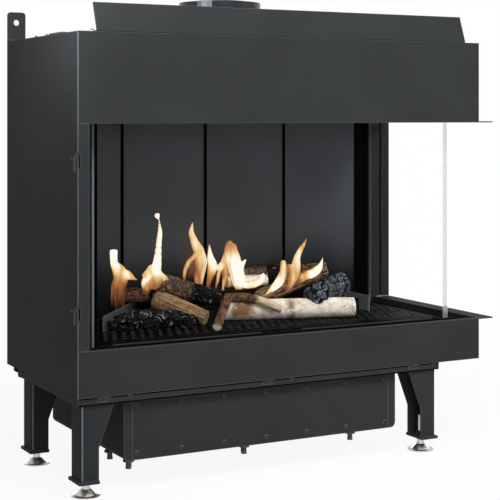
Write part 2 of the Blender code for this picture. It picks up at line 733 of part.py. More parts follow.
def underframe():
    """A ring of folded rails, stepped up at the rear to carry the casing's back edge."""
    inner_left = FRAME_LEFT + RAIL_WIDTH
    inner_right = FRAME_RIGHT - RAIL_WIDTH
    inner_front = FRAME_FRONT + RAIL_WIDTH
    inner_rear = FRAME_REAR - RAIL_WIDTH
    step = FRAME_BASE + RAIL_STEP
    shelf_rear = FRAME_REAR + RAIL_SHELF
    front_path = [
        (inner_front, FRAME_TOP),
        (FRAME_FRONT, FRAME_TOP),
        (FRAME_FRONT, FRAME_BASE),
        (inner_front, FRAME_BASE),
    ]
    left_path = [
        (inner_left, FRAME_TOP),
        (FRAME_LEFT, FRAME_TOP),
        (FRAME_LEFT, FRAME_BASE),
        (inner_left, FRAME_BASE),
    ]
    right_path = [
        (inner_right, FRAME_BASE),
        (FRAME_RIGHT, FRAME_BASE),
        (FRAME_RIGHT, FRAME_TOP),
        (inner_right, FRAME_TOP),
    ]
    rear_path = [
        (inner_rear, FRAME_BASE),
        (FRAME_REAR, FRAME_BASE),
        (FRAME_REAR, step),
        (shelf_rear, step),
        (shelf_rear, FRAME_TOP),
    ]
    across = (FRAME_LEFT, FRAME_RIGHT)
    along = (FRAME_FRONT, FRAME_REAR)
    frame = folded("underframe", "YZ", front_path, SHEET, SHEET_BEND, *across, ANTHRACITE)
    left = folded("left_rail", "XZ", left_path, SHEET, SHEET_BEND, *along, ANTHRACITE)
    right = folded("right_rail", "XZ", right_path, SHEET, SHEET_BEND, *along, ANTHRACITE)
    rear = folded("rear_rail", "YZ", rear_path, SHEET, SHEET_BEND, *across, ANTHRACITE)
    return fuse(frame, left, right, rear)


def leg(place, outer, inward, front):
    """A folded channel that widens towards the underframe, with a nut on its end plate."""

    def at(distance):
        return outer + inward * distance

    name = f"leg_{place}"
    rear = front + LEG_DEPTH
    widest = at(LEG_WIDTH + LEG_FLARE)
    plate_top = LEG_BASE + END_PLATE
    path = [(widest, front), (outer, front), (outer, rear), (widest, rear)]
    if inward > 0:
        path.reverse()
    channel = folded(name, "XY", path, PLATE, LEG_BEND, plate_top - BITE, LEG_TOP, ANTHRACITE)
    flare_start = LEG_TOP - LEG_FLARE_HEIGHT
    taper = [
        (at(LEG_WIDTH), plate_top - OVERRUN),
        (at(LEG_WIDTH), flare_start),
        (widest, LEG_TOP),
        (at(LEG_WIDTH + LEG_FLARE + OVERRUN), LEG_TOP),
        (at(LEG_WIDTH + LEG_FLARE + OVERRUN), plate_top - OVERRUN),
    ]
    cut(channel, prism("taper", "XZ", taper, front - OVERRUN, rear + OVERRUN))
    plate_x = sorted((at(-END_PLATE_OUTER), at(LEG_WIDTH)))
    plate = block("end_plate", plate_x, (front - END_PLATE_SIDE, rear + END_PLATE_SIDE), (LEG_BASE, plate_top))
    head_x = sorted((at(BITE), at(LEG_WIDTH)))
    head = block("head_plate", head_x, (front + BITE, rear - BITE), (LEG_TOP - PLATE, LEG_TOP))
    centre = (at(FOOT_INSET), (front + rear) / 2)
    nut = rod("foot_nut", "XY", centre, NUT_RADIUS, plate_top - BITE, plate_top + NUT_HEIGHT, sides=NUT_SIDES)
    fuse(channel, plate, head, nut)
    bore_top = plate_top + NUT_HEIGHT + OVERRUN
    return cut(channel, rod("foot_bore", "XY", centre, FOOT_THREAD_RADIUS + GAP, LEG_BASE - OVERRUN, bore_top))


def levelling_foot(place, centre):
    profile = [
        (0, 0),
        (FOOT_RIM_RADIUS, 0),
        (FOOT_RIM_RADIUS, FOOT_RIM),
        (FOOT_CONE_RADIUS, FOOT_CONE_BASE),
        (FOOT_CONE_TOP_RADIUS, FOOT_CONE_TOP),
        (FOOT_SHANK_RADIUS, FOOT_CONE_TOP),
        (FOOT_SHANK_RADIUS, LEG_BASE - GAP),
        (FOOT_THREAD_RADIUS, LEG_BASE - GAP),
        (FOOT_THREAD_RADIUS, FOOT_THREAD_TOP),
        (0, FOOT_THREAD_TOP),
    ]
    foot = turned(f"levelling_foot_{place}", "XY", centre, profile, CHROME)
    return set_origin(foot, (*centre, 0))


def box_outline(inset, top):
    """The control box's cross-section, with its lower corners rounded."""
    left = BOX_LEFT + inset
    right = BOX_RIGHT - inset
    base = BOX_BASE + inset
    path = [(left, top), (left, base), (right, base), (right, top)]
    return rounded_line(path, BOX_CORNER - inset, BOX_CORNER - inset)


def control_box_tray():
    tray = prism("control_box_tray", "XZ", box_outline(0, BOX_TOP), BOX_FRONT, BOX_REAR, ANTHRACITE)
    recess_rear = BOX_FRONT + SHEET + GAP
    cavity = prism(
        "box_cavity", "XZ", box_outline(SHEET, BOX_TOP + OVERRUN), recess_rear + SHEET, BOX_REAR - SHEET
    )
    cover_x = (BOX_LEFT + COVER_MARGIN, BOX_RIGHT - COVER_MARGIN)
    recess = block(
        "cover_recess", cover_x, (BOX_FRONT - OVERRUN, recess_rear), (BOX_BASE - OVERRUN, BOX_TOP + OVERRUN)
    )
    window = block(
        "box_window",
        (cover_x[0] + WINDOW_MARGIN, cover_x[1] - WINDOW_MARGIN),
        (BOX_FRONT - OVERRUN, recess_rear + SHEET + OVERRUN),
        (BOX_BASE + WINDOW_MARGIN, BOX_TOP - WINDOW_MARGIN),
    )
    inlet = rod(
        "inlet_hole", "XZ", (INLET_CENTRE_X, INLET_Z), INLET_RADIUS + GAP, BOX_REAR - OVERRUN, BOX_REAR + OVERRUN
    )
    cut(tray, cavity, recess, window, inlet)
    for share_x, share_y in UNDER_BOLT_SHARES:
        centre = (BOX_LEFT + share_x * BOX_LENGTH, BOX_FRONT + share_y * BOX_DEPTH)
        root = BOX_BASE + BITE
        shank = rod("shank", "XY", centre, UNDER_BOLT_RADIUS, BOX_BASE - UNDER_BOLT_LENGTH, root, sides=BOLT_SIDES)
        nut = rod("nut", "XY", centre, UNDER_NUT_RADIUS, BOX_BASE - UNDER_NUT_HEIGHT, root, sides=NUT_SIDES)
        fuse(tray, shank, nut)
    return tray


def control_box_cover():
    return block(
        "control_box_cover",
        (BOX_LEFT + COVER_MARGIN + GAP, BOX_RIGHT - COVER_MARGIN - GAP),
        (BOX_FRONT, BOX_FRONT + SHEET),
        (BOX_BASE, BOX_TOP),
        ANTHRACITE,
    )


def gas_valve():
    """The valve block with its regulator, knob spindles and the bore of the igniter button."""
    valve = block(
        "gas_valve",
        (VALVE_LEFT, VALVE_LEFT + VALVE_LENGTH),
        (VALVE_FRONT, VALVE_REAR),
        (VALVE_BASE, VALVE_TOP),
        VALVE_ALLOY,
    )
    regulator = rod(
        "regulator", "XY", (VALVE_LEFT + REGULATOR_X, SUPPLY_Y), REGULATOR_RADIUS,
        VALVE_TOP - BITE, VALVE_TOP + REGULATOR_HEIGHT,
    )
    spindles = [
        rod(
            f"spindle_{place}", "XZ", (VALVE_LEFT + offset, CONTROL_Z), SPINDLE_RADIUS,
            VALVE_FRONT - SPINDLE_LENGTH, VALVE_FRONT + BITE, sides=BOLT_SIDES,
        )
        for place, offset in (("flame", FLAME_KNOB_X), ("manual", MANUAL_KNOB_X))
    ]
    fuse(valve, regulator, *spindles)
    bore_end = VALVE_FRONT + BUTTON_SEAT + BUTTON_TRAVEL + BITE
    bore = rod(
        "button_bore", "XZ", (VALVE_LEFT + BUTTON_X, CONTROL_Z), BUTTON_RADIUS + GAP, VALVE_FRONT - OVERRUN, bore_end
    )
    return cut(valve, bore)


def knob(name, offset, radius, length, look):
    """A round knob with a grip bar, on its spindle."""
    centre = (VALVE_LEFT + offset, CONTROL_Z)
    rear = VALVE_FRONT - KNOB_CLEARANCE
    front = rear - length
    spindle_tip = VALVE_FRONT - SPINDLE_LENGTH - GAP
    profile = [
        (0, front),
        (radius, front),
        (radius, rear),
        (SPINDLE_RADIUS + GAP, rear),
        (SPINDLE_RADIUS + GAP, spindle_tip),
        (0, spindle_tip),
    ]
    body = turned(name, "XZ", centre, profile, look)
    half = GRIP_WIDTH / 2
    grip = block(
        "grip",
        (centre[0] - half, centre[0] + half),
        (front - GRIP_HEIGHT, front + BITE),
        (centre[1] - radius + GRIP_WIDTH, centre[1] + radius - GRIP_WIDTH),
    )
    return set_origin(fuse(body, grip), (centre[0], rear, centre[1]))


def igniter_button():
    centre = (VALVE_LEFT + BUTTON_X, CONTROL_Z)
    front = VALVE_FRONT - BUTTON_STANDOUT
    profile = [
        (0, front),
        (BUTTON_HEAD_RADIUS, front),
        (BUTTON_HEAD_RADIUS, front + BUTTON_HEAD),
        (BUTTON_RADIUS, front + BUTTON_HEAD),
        (BUTTON_RADIUS, VALVE_FRONT + BUTTON_SEAT),
        (0, VALVE_FRONT + BUTTON_SEAT),
    ]
    button = turned("igniter_button", "XZ", centre, profile, RED_PLASTIC)
    return set_origin(button, (centre[0], front, centre[1]))


def gas_inlet_pipe():
    """The pipe from the valve out through the box's rear wall, with its union nut outside."""
    centre = (INLET_CENTRE_X, INLET_Z)
    start = VALVE_REAR + GAP
    end = REAR - SHEET
    nut_start = BOX_REAR + GAP
    pipe = rod("gas_inlet_pipe", "XZ", centre, INLET_RADIUS, start, end, COPPER)
    nut = rod("union_nut", "XZ", centre, INLET_NUT_RADIUS, nut_start, nut_start + INLET_NUT_LENGTH, sides=NUT_SIDES)
    fuse(pipe, nut)
    return cut(pipe, rod("inlet_bore", "XZ", centre, INLET_BORE, start - OVERRUN, end + OVERRUN))


def burner_supply_pipe():
    base = VALVE_TOP + GAP
    tip = SUPPLY_TOP + INJECTOR_LENGTH
    profile = [
        (SUPPLY_BORE, base),
        (SUPPLY_RADIUS, base),
        (SUPPLY_RADIUS, SUPPLY_TOP),
        (INJECTOR_RADIUS, tip),
        (INJECTOR_BORE, tip),
        (INJECTOR_BORE, tip - INJECTOR_RADIUS),
        (SUPPLY_BORE, SUPPLY_TOP - INJECTOR_LENGTH),
    ]
    return turned("burner_supply_pipe", "XY", (SUPPLY_X, SUPPLY_Y), profile, COPPER)


def air_slot(name):
    """A cutter for the slot through one side of the mixing tube and of the shutter round it."""
    middle = PAN_BASE - SHUTTER_SETBACK - SHUTTER_LENGTH / 2
    return block(
        name,
        (SUPPLY_X, SUPPLY_X + MIXER_RADIUS + SHUTTER_WALL + OVERRUN),
        (SUPPLY_Y - AIR_SLOT_WIDTH / 2, SUPPLY_Y + AIR_SLOT_WIDTH / 2),
        (middle - AIR_SLOT_HEIGHT / 2, middle + AIR_SLOT_HEIGHT / 2),
    )


def air_shutter():
    inner = MIXER_RADIUS + GAP
    outer = inner + SHUTTER_WALL
    top = PAN_BASE - SHUTTER_SETBACK
    base = top - SHUTTER_LENGTH
    profile = [(inner, base), (outer, base), (outer, top), (inner, top)]
    ring = turned("air_shutter", "XY", (SUPPLY_X, SUPPLY_Y), profile, DARK_STEEL)
    return set_origin(cut(ring, air_slot("shutter_slot")), (SUPPLY_X, SUPPLY_Y, base))


def on_burner(shares):
    """The point at these shares of the log set's length and depth."""
    return Vector((SET_LEFT + shares[0] * SET_LENGTH, SET_FRONT + shares[1] * SET_DEPTH))


def pilot_burner():
    left, front = on_burner(PILOT_SHARES)
    base = PLATE_TOP + GAP
    step = base + PILOT_FOOT
    top = base + PILOT_HEIGHT
    middle = front + PILOT_DEPTH / 2
    foot = block(
        "pilot_burner", (left, left + PILOT_LENGTH), (front, front + PILOT_DEPTH), (base, step), DARK_STEEL
    )
    hood_x = left + PILOT_RADIUS + BITE
    electrode_x = hood_x + ELECTRODE_SPACING
    hood = rod("hood", "XY", (hood_x, middle), PILOT_RADIUS, step - BITE, top, sides=BOLT_SIDES)
    electrode = rod("electrode", "XY", (electrode_x, middle), ELECTRODE_RADIUS, step - BITE, top, sides=SMALL_SIDES)
    return fuse(foot, hood, electrode)


def receiver_box():
    """The remote control's receiver, beside the inlet pipe and behind the valve."""
    left = INLET_CENTRE_X + RECEIVER_OFFSET
    front = VALVE_REAR + RECEIVER_SETBACK
    top = VALVE_BASE + RECEIVER_HEIGHT
    body = block(
        "receiver_box",
        (left, left + RECEIVER_LENGTH),
        (front, front + RECEIVER_DEPTH),
        (VALVE_BASE, top),
        BLACK_PLASTIC,
    )
    middle_x = left + RECEIVER_LENGTH / 2
    middle_y = front + RECEIVER_DEPTH / 2
    switch = block(
        "switch",
        (middle_x - SWITCH_LENGTH / 2, middle_x + SWITCH_LENGTH / 2),
        (middle_y - SWITCH_DEPTH / 2, middle_y + SWITCH_DEPTH / 2),
        (top - BITE, top + SWITCH_HEIGHT),
    )
    return fuse(body, switch)


def hearth_tray():
    """The chamber's base: a tray whose front and right walls end in the channels for the glass."""
    tray = block(
        "hearth_tray",
        (CHAMBER_LEFT, CHAMBER_RIGHT),
        (CHAMBER_FRONT, CHAMBER_REAR),
        (HEARTH_BASE, CHANNEL_TOP),
        CHAMBER_BLACK,
    )
    lip_rear = CHAMBER_FRONT + CHANNEL_WIDTH
    lip_left = CHAMBER_RIGHT - CHANNEL_WIDTH
    floor = HEARTH_BASE + SHEET
    above = CHANNEL_TOP + OVERRUN
    behind = CHAMBER_REAR + OVERRUN
    beside = CHAMBER_LEFT - OVERRUN
    trough_right = CHAMBER_RIGHT - SHEET
    trough_front = CHAMBER_FRONT + SHEET
    cut(
        tray,
        block(
            "under_channels",
            (CHAMBER_LEFT + SHEET, trough_right),
            (trough_front, CHAMBER_REAR - SHEET),
            (floor, CHANNEL_BASE),
        ),
        block("inside", (CHAMBER_LEFT + SHEET, lip_left), (lip_rear, CHAMBER_REAR - SHEET), (floor, above)),
        block("over_walls", (beside, lip_left), (lip_rear, behind), (HEARTH_WALL_TOP, above)),
        block("front_trough", (beside, trough_right), (trough_front, lip_rear - SHEET), (CHANNEL_FLOOR, above)),
        block("side_trough", (lip_left + SHEET, trough_right), (trough_front, behind), (CHANNEL_FLOOR, above)),
        pipe_hole(HEARTH_BASE, floor),
    )
    return tray


def chamber_roof():
    """The chamber's ceiling, with lips that hold the top edges of the glass."""
    rear = CHAMBER_REAR + ROOF_BACK
    below = ROOF_BASE - ROOF_LIP
    roof = block("chamber_roof", (CHAMBER_LEFT, CHAMBER_RIGHT), (CHAMBER_FRONT, rear), (below, ROOF_TOP), CHAMBER_BLACK)
    lip_rear = CHAMBER_FRONT + CHANNEL_WIDTH
    lip_left = CHAMBER_RIGHT - CHANNEL_WIDTH
    beside = CHAMBER_LEFT - OVERRUN
    under = (below - OVERRUN, ROOF_BASE)
    trough_right = CHAMBER_RIGHT - SHEET
    trough_front = CHAMBER_FRONT + SHEET
    cut(
        roof,
        block("inside", (beside, lip_left), (lip_rear, rear + OVERRUN), under),
        block("front_trough", (beside, trough_right), (trough_front, lip_rear - SHEET), under),
        block("side_trough", (lip_left + SHEET, trough_right), (trough_front, rear + OVERRUN), under),
        block(
            "lip_end",
            (lip_left - OVERRUN, CHAMBER_RIGHT + OVERRUN),
            (CHAMBER_REAR - ROOF_LIP_SETBACK, rear + OVERRUN),
            under,
        ),
        rod(
            "flue_hole", "XY", FLUE_CENTRE, FLUE_INNER_RADIUS + BITE,
            ROOF_BASE - OVERRUN, ROOF_TOP + OVERRUN, sides=FLUE_STEPS,
        ),
    )
    return roof


def left_glass_post():
    outer = CHAMBER_FRONT + SHEET + GAP
    inner = CHAMBER_FRONT + CHANNEL_WIDTH - SHEET - GAP
    path = [
        (CHAMBER_LEFT + LEFT_POST_INNER, inner),
        (CHAMBER_LEFT, inner),
        (CHAMBER_LEFT, outer),
        (CHAMBER_LEFT + LEFT_POST_OUTER, outer),
    ]
    base = CHANNEL_FLOOR + GAP
    top = base + GLASS_HEIGHT + LEFT_POST_RISE
    return folded("left_glass_post", "XY", path, SHEET, SHEET_BEND, base, top, CHAMBER_BLACK)


def rear_glass_post():
    """A channel that takes the rear edge of the narrow pane."""
    left = CHAMBER_RIGHT - CHANNEL_WIDTH
    front = CHAMBER_REAR + GAP
    rear = front + REAR_GLASS_POST_DEPTH
    path = [(CHAMBER_RIGHT, front), (CHAMBER_RIGHT, rear), (left, rear), (left, front)]
    return folded("rear_glass_post", "XY", path, SHEET, SHEET_BEND, HEARTH_BASE, ROOF_BASE - GAP, CHAMBER_BLACK)


def front_glass():
    base = CHANNEL_FLOOR + GAP
    return block(
        "front_glass",
        (CHAMBER_LEFT + SHEET + GAP, GLASS_RIGHT - GLASS - GAP),
        (GLASS_FRONT, GLASS_FRONT + GLASS),
        (base, base + GLASS_HEIGHT),
        GLASS_LOOK,
    )


def side_glass():
    base = CHANNEL_FLOOR + GAP
    rear = CHAMBER_REAR + GAP + REAR_GLASS_POST_DEPTH - SHEET - GAP
    return block(
        "side_glass",
        (GLASS_RIGHT - GLASS, GLASS_RIGHT),
        (GLASS_FRONT, rear),
        (base, base + GLASS_HEIGHT),
        GLASS_LOOK,
    )


def corner_clip():
    """A small angle that holds the lower corner of both panes together."""
    front = GLASS_FRONT - GAP - SHEET
    right = GLASS_RIGHT + GAP + SHEET
    path = [(right - CLIP_FRONT, front), (right, front), (right, front + CLIP_SIDE)]
    base = CHANNEL_FLOOR + GAP
    return folded("corner_clip", "XY", path, SHEET, SHEET_BEND, base, base + CLIP_HEIGHT, CHROME)


def left_liner():
    return block(
        "left_liner",
        (CHAMBER_LEFT, CHAMBER_LEFT + LINER),
        (CHAMBER_FRONT + CHANNEL_WIDTH + GAP, CHAMBER_REAR - LINER - GAP),
        (HEARTH_WALL_TOP + GAP, ROOF_BASE - GAP),
        CHAMBER_BLACK,
    )


def back_liner(number, share_start, share_end):
    return block(
        f"back_liner_{number}",
        (CHAMBER_LEFT + share_start * BACK_LENGTH, CHAMBER_LEFT + share_end * BACK_LENGTH),
        (CHAMBER_REAR - LINER, CHAMBER_REAR),
        (HEARTH_WALL_TOP + GAP, ROOF_BASE - GAP),
        CHAMBER_BLACK,
    )


def burner_pan():
    """The gas box under the burner plate, on two runners, with its mixing tube."""
    pan = block(
        "burner_pan", (BURNER_LEFT, BURNER_RIGHT), (BURNER_FRONT, BURNER_REAR), (PAN_BASE, PAN_TOP), DARK_STEEL
    )
    inside = block(
        "pan_inside",
        (BURNER_LEFT + SHEET, BURNER_RIGHT - SHEET),
        (BURNER_FRONT + SHEET, BURNER_REAR - SHEET),
        (PAN_BASE + SHEET, PAN_TOP + OVERRUN),
    )
    cut(pan, inside)
    starts = (BURNER_LEFT + RUNNER_INSET, BURNER_RIGHT - RUNNER_INSET - RUNNER_WIDTH)
    runners = [
        block(
            f"runner_{number}",
            (start, start + RUNNER_WIDTH),
            (BURNER_FRONT + RUNNER_SETBACK, BURNER_REAR - RUNNER_SETBACK),
            (HEARTH_BASE + SHEET + GAP, PAN_BASE + BITE),
        )
        for number, start in enumerate(starts)
    ]
    centre = (SUPPLY_X, SUPPLY_Y)
    mixer_base = PAN_BASE - MIXER_LENGTH
    mixer = rod("mixer", "XY", centre, MIXER_RADIUS, mixer_base, PAN_BASE + BITE)
    fuse(pan, mixer, *runners)
    throat_top = PAN_BASE + SHEET + OVERRUN
    throat = rod("throat", "XY", centre, MIXER_RADIUS - SHEET, mixer_base - OVERRUN, throat_top)
    return cut(pan, throat, air_slot("mixer_slot"))


def burner_ports():
    """A cutter with one hexagonal port for each place of a staggered pattern."""
    bm = bmesh.new()
    rows = int((BURNER_DEPTH - 2 * PORT_MARGIN) / PORT_PITCH_Y) + 1
    row_start = BURNER_FRONT + (BURNER_DEPTH - (rows - 1) * PORT_PITCH_Y) / 2
    for row in range(rows):
        margin = PORT_MARGIN + (row % 2) * PORT_PITCH_X / 2
        ports = int((BURNER_LENGTH - 2 * margin) / PORT_PITCH_X) + 1
        start = BURNER_LEFT + (BURNER_LENGTH - (ports - 1) * PORT_PITCH_X) / 2
        for port in range(ports):
            centre = (start + port * PORT_PITCH_X, row_start + row * PORT_PITCH_Y)
            outline = ring_points(centre, PORT_RADIUS, PORT_SIDES)
            face = bm.faces.new([bm.verts.new((x, y, PLATE_BASE - OVERRUN)) for x, y in outline])
            extruded = bmesh.ops.extrude_face_region(bm, geom=[face])["geom"]
            moved = [element for element in extruded if isinstance(element, bmesh.types.BMVert)]
            bmesh.ops.translate(bm, verts=moved, vec=(0, 0, SHEET + 2 * OVERRUN))
    return add_object("ports", bm)


def burner_plate():
    plate = block(
        "burner_plate",
        (BURNER_LEFT, BURNER_RIGHT),
        (BURNER_FRONT, BURNER_REAR),
        (PLATE_BASE, PLATE_TOP),
        DARK_STEEL,
    )
    return cut(plate, burner_ports())


def log_guard(name, start, end, near_height, far_height, swell=0):
    """An upright plate from start to end with a window under it, or its swollen copy."""
    length = (end - start).length
    window = [share * length for share in GUARD_WINDOW_SHARES]
    window_top = GUARD_WINDOW * SET_SCALE
    outline = [
        (0, 0),
        (window[0], 0),
        (window[0], window_top),
        (window[1], window_top),
        (window[1], 0),
        (length, 0),
        (length, far_height * SET_SCALE + swell),
        (0, near_height * SET_SCALE + swell),
    ]
    guard = prism(name, "XZ", outline, -SHEET / 2 - swell, SHEET / 2 + swell, CHAMBER_BLACK)
    way = end - start
    turn = Matrix.Rotation(math.atan2(way.y, way.x), 4, "Z")
    guard.data.transform(Matrix.Translation((start.x, start.y, PLATE_TOP + GAP)) @ turn)
    return guard


def left_guard(name, swell=0):
    start, end = map(on_burner, LEFT_GUARD_SHARES)
    return log_guard(name, start, end, GUARD_NEAR, GUARD_FAR, swell)


def right_guard():
    start, end = map(on_burner, RIGHT_GUARD_SHARES)
    return log_guard("log_guard_right", start, end, RIGHT_GUARD_HEIGHT, RIGHT_GUARD_HEIGHT)


def log_shelf():
    """A raised step at the back of the burner, with a block that the left logs lean on."""
    base = PLATE_TOP + GAP
    path = [(SHELF_REAR, base), (SHELF_REAR, SHELF_TOP), (SHELF_FRONT, SHELF_TOP), (SHELF_FRONT, base)]
    shelf = folded("log_shelf", "YZ", path, SHEET, SHEET_BEND, SHELF_LEFT, SHELF_RIGHT, CHAMBER_BLACK)
    rest = block(
        "log_rest",
        (REST_LEFT, REST_RIGHT),
        (REST_FRONT, SHELF_FRONT + BITE),
        (base, REST_TOP),
    )
    return fuse(shelf, rest)


def log_stations(shares):
    """Centres and radii along a log, with two more between each pair of chosen points."""
    chosen = []
    for share_x, share_y, share_z, radius_share in shares:
        x, y = on_burner((share_x, share_y))
        height = share_z * LOG_PILE_HEIGHT * SET_SCALE
        chosen.append((Vector((x, y, PLATE_TOP + height)), radius_share * LOG_RADIUS * SET_SCALE))
    stations = [chosen[0]]
    for (start, start_radius), (end, end_radius) in zip(chosen, chosen[1:]):
        for step in range(1, LOG_STATIONS + 1):
            share = step / LOG_STATIONS
            stations.append((start.lerp(end, share), start_radius + share * (end_radius - start_radius)))
    return stations


def log_body(name, shares, look=None, swell=0):
    """A slightly uneven round log through its stations, or its swollen copy for a seat."""
    stations = log_stations(shares)
    ways = [(b[0] - a[0]).normalized() for a, b in zip(stations, stations[1:])]
    bm = bmesh.new()
    rings = []
    for i, (centre, radius) in enumerate(stations):
        way = (ways[max(i - 1, 0)] + ways[min(i, len(ways) - 1)]).normalized()
        side = way.cross(Vector((0, 0, 1))).normalized()
        rise = side.cross(way)
        if i == 0:
            centre = centre - way * swell
        if i == len(stations) - 1:
            centre = centre + way * swell
        ring = []
        for k in range(LOG_SIDES):
            angle = 2 * math.pi * k / LOG_SIDES
            uneven = 1 + LOG_UNEVENNESS_SHARE * math.sin(3 * angle + 2 * i)
            reach = radius * uneven + swell / math.cos(math.pi / LOG_SIDES)
            ring.append(bm.verts.new(centre + reach * (math.cos(angle) * side + math.sin(angle) * rise)))
        rings.append(ring)
    for lower, upper in zip(rings, rings[1:]):
        for k in range(LOG_SIDES):
            bm.faces.new((lower[k - 1], lower[k], upper[k], upper[k - 1]))
    bm.faces.new(rings[0])
    bm.faces.new(rings[-1])
    bmesh.ops.triangulate(bm, faces=bm.faces)
    return add_object(name, bm, look)


def log_seat(name):
    """The swollen copy of a log, which cuts the seat that another log lies in."""
    return log_body(f"{name}_seat", LOG_SHARES[name], swell=GAP)


def plate_seat():
    """Everything below the burner plate's top, for logs whose flat base stands on it."""
    return block(
        "plate_seat",
        (BURNER_LEFT, BURNER_RIGHT),
        (BURNER_FRONT, BURNER_REAR),
        (PLATE_BASE - OVERRUN, PLATE_TOP + GAP),
    )


def shelf_seat():
    return block(
        "shelf_seat",
        (SHELF_LEFT - GAP, SHELF_RIGHT + GAP),
        (SHELF_FRONT - GAP, SHELF_REAR + GAP),
        (PLATE_BASE, SHELF_TOP + GAP),
    )


def rest_seat():
    return block(
        "rest_seat",
        (REST_LEFT - GAP, REST_RIGHT + GAP),
        (REST_FRONT - GAP, SHELF_FRONT),
        (PLATE_BASE, REST_TOP + GAP),
    )


def log_piece(name, look, *seats):
    log = log_body(name, LOG_SHARES[name], look)
    cut(log, *seats)
    return smooth(log, LOG_SMOOTH_ANGLE)


def twig_forked():
    twig = log_body("twig_forked", LOG_SHARES["twig_forked"], BIRCH)
    fuse(twig, log_body("twig_branch", TWIG_BRANCH_SHARES))
    cut(twig, plate_seat(), log_seat("log_birch_front"), log_seat("log_rear_left"))
    return smooth(twig, LOG_SMOOTH_ANGLE)


def log_set():
    log_piece("log_charred_front", CHARRED, plate_seat())
    log_piece("log_birch_front", BIRCH, plate_seat())
    log_piece("log_dark_left", CHARRED, left_guard("guard_seat", GAP), shelf_seat())
    log_piece("log_split", BROWN_BARK, plate_seat(), shelf_seat(), log_seat("log_dark_left"))
    log_piece(
        "log_rear_left", BROWN_BARK, log_seat("log_split"), log_seat("log_dark_left"), shelf_seat(), rest_seat()
    )
    twig_forked()
    log_piece("log_charred_right", CHARRED, log_seat("log_birch_front"))
    log_piece("log_brown_right", BROWN_BARK, log_seat("log_birch_front"), log_seat("log_charred_right"))
    log_piece("log_birch_rear", BIRCH, shelf_seat())
    log_piece("log_rear_mid", BROWN_BARK, log_seat("log_birch_rear"))
    log_piece("stick_rear", BROWN_BARK, log_seat("log_brown_right"))


def casing():
    left_side_panel()
    rear_panel()
    top_plate()
    floor_plate()
    upper_casing_panel()
    lower_casing_panel()
    rear_corner_post()
    top_deflector()
    wall_bracket("left", LEFT)
    wall_bracket("right", RIGHT - BRACKET_WIDTH)
    outer_top = CASING_TOP + FLUE_OUTER_RISE
    inner_top = CASING_TOP + FLUE_INNER_RISE
    flue_pipe("flue_outer_spigot", FLUE_OUTER_RADIUS, OUTER_COLLAR, CASING_TOP + GAP, outer_top)
    flue_pipe("flue_inner_pipe", FLUE_INNER_RADIUS, INNER_COLLAR, ROOF_TOP + GAP, inner_top)


def stand():
    underframe()
    left = FRAME_LEFT + LEG_INSET
    right = FRAME_RIGHT - LEG_INSET
    near = FRONT + LEG_INSET
    far = FRAME_REAR - REAR_LEG_INSET - LEG_DEPTH
    for place, outer, inward, front in (
        ("front_left", left, 1, near),
        ("front_right", right, -1, near),
        ("rear_left", left, 1, far),
        ("rear_right", right, -1, far),
    ):
        leg(place, outer, inward, front)
        levelling_foot(place, (outer + inward * FOOT_INSET, front + LEG_DEPTH / 2))


def gas_train():
    control_box_tray()
    control_box_cover()
    gas_valve()
    knob("flame_knob", FLAME_KNOB_X, FLAME_KNOB_RADIUS, FLAME_KNOB_LENGTH, BLACK_PLASTIC)
    knob("manual_knob", MANUAL_KNOB_X, MANUAL_KNOB_RADIUS, MANUAL_KNOB_LENGTH, BLACK_PLASTIC)
    igniter_button()
    gas_inlet_pipe()
    burner_supply_pipe()
    receiver_box()


def chamber():
    hearth_tray()
    chamber_roof()
    left_glass_post()
    rear_glass_post()
    front_glass()
    side_glass()
    corner_clip()
    left_liner()
    for number, (share_start, share_end) in enumerate(BACK_PANEL_SHARES, 1):
        back_liner(number, share_start, share_end)


def burner():
    burner_pan()
    burner_plate()
    air_shutter()
    pilot_burner()
    left_guard("log_guard_left")
    right_guard()
    log_shelf()
    log_set()


def clear_scene():
    for obj in list(bpy.data.objects):
        bpy.data.objects.remove(obj)


def place_on_stand():
    """Centres the origin of each fixed piece on its shape, and hangs all pieces on one empty."""
    fireplace = bpy.data.objects.new("fireplace", None)
    for obj in list(bpy.context.scene.collection.objects):
        if obj.location.length == 0:
            corners = [Vector(corner) for corner in obj.bound_box]
            set_origin(obj, sum(corners, Vector()) / len(corners))
        obj.parent = fireplace
    bpy.context.scene.collection.objects.link(fireplace)


clear_scene()
casing()
stand()
gas_train()
chamber()
burner()
place_on_stand()
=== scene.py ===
import math

import bmesh
import bpy
import numpy as np
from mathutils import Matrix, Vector, noise


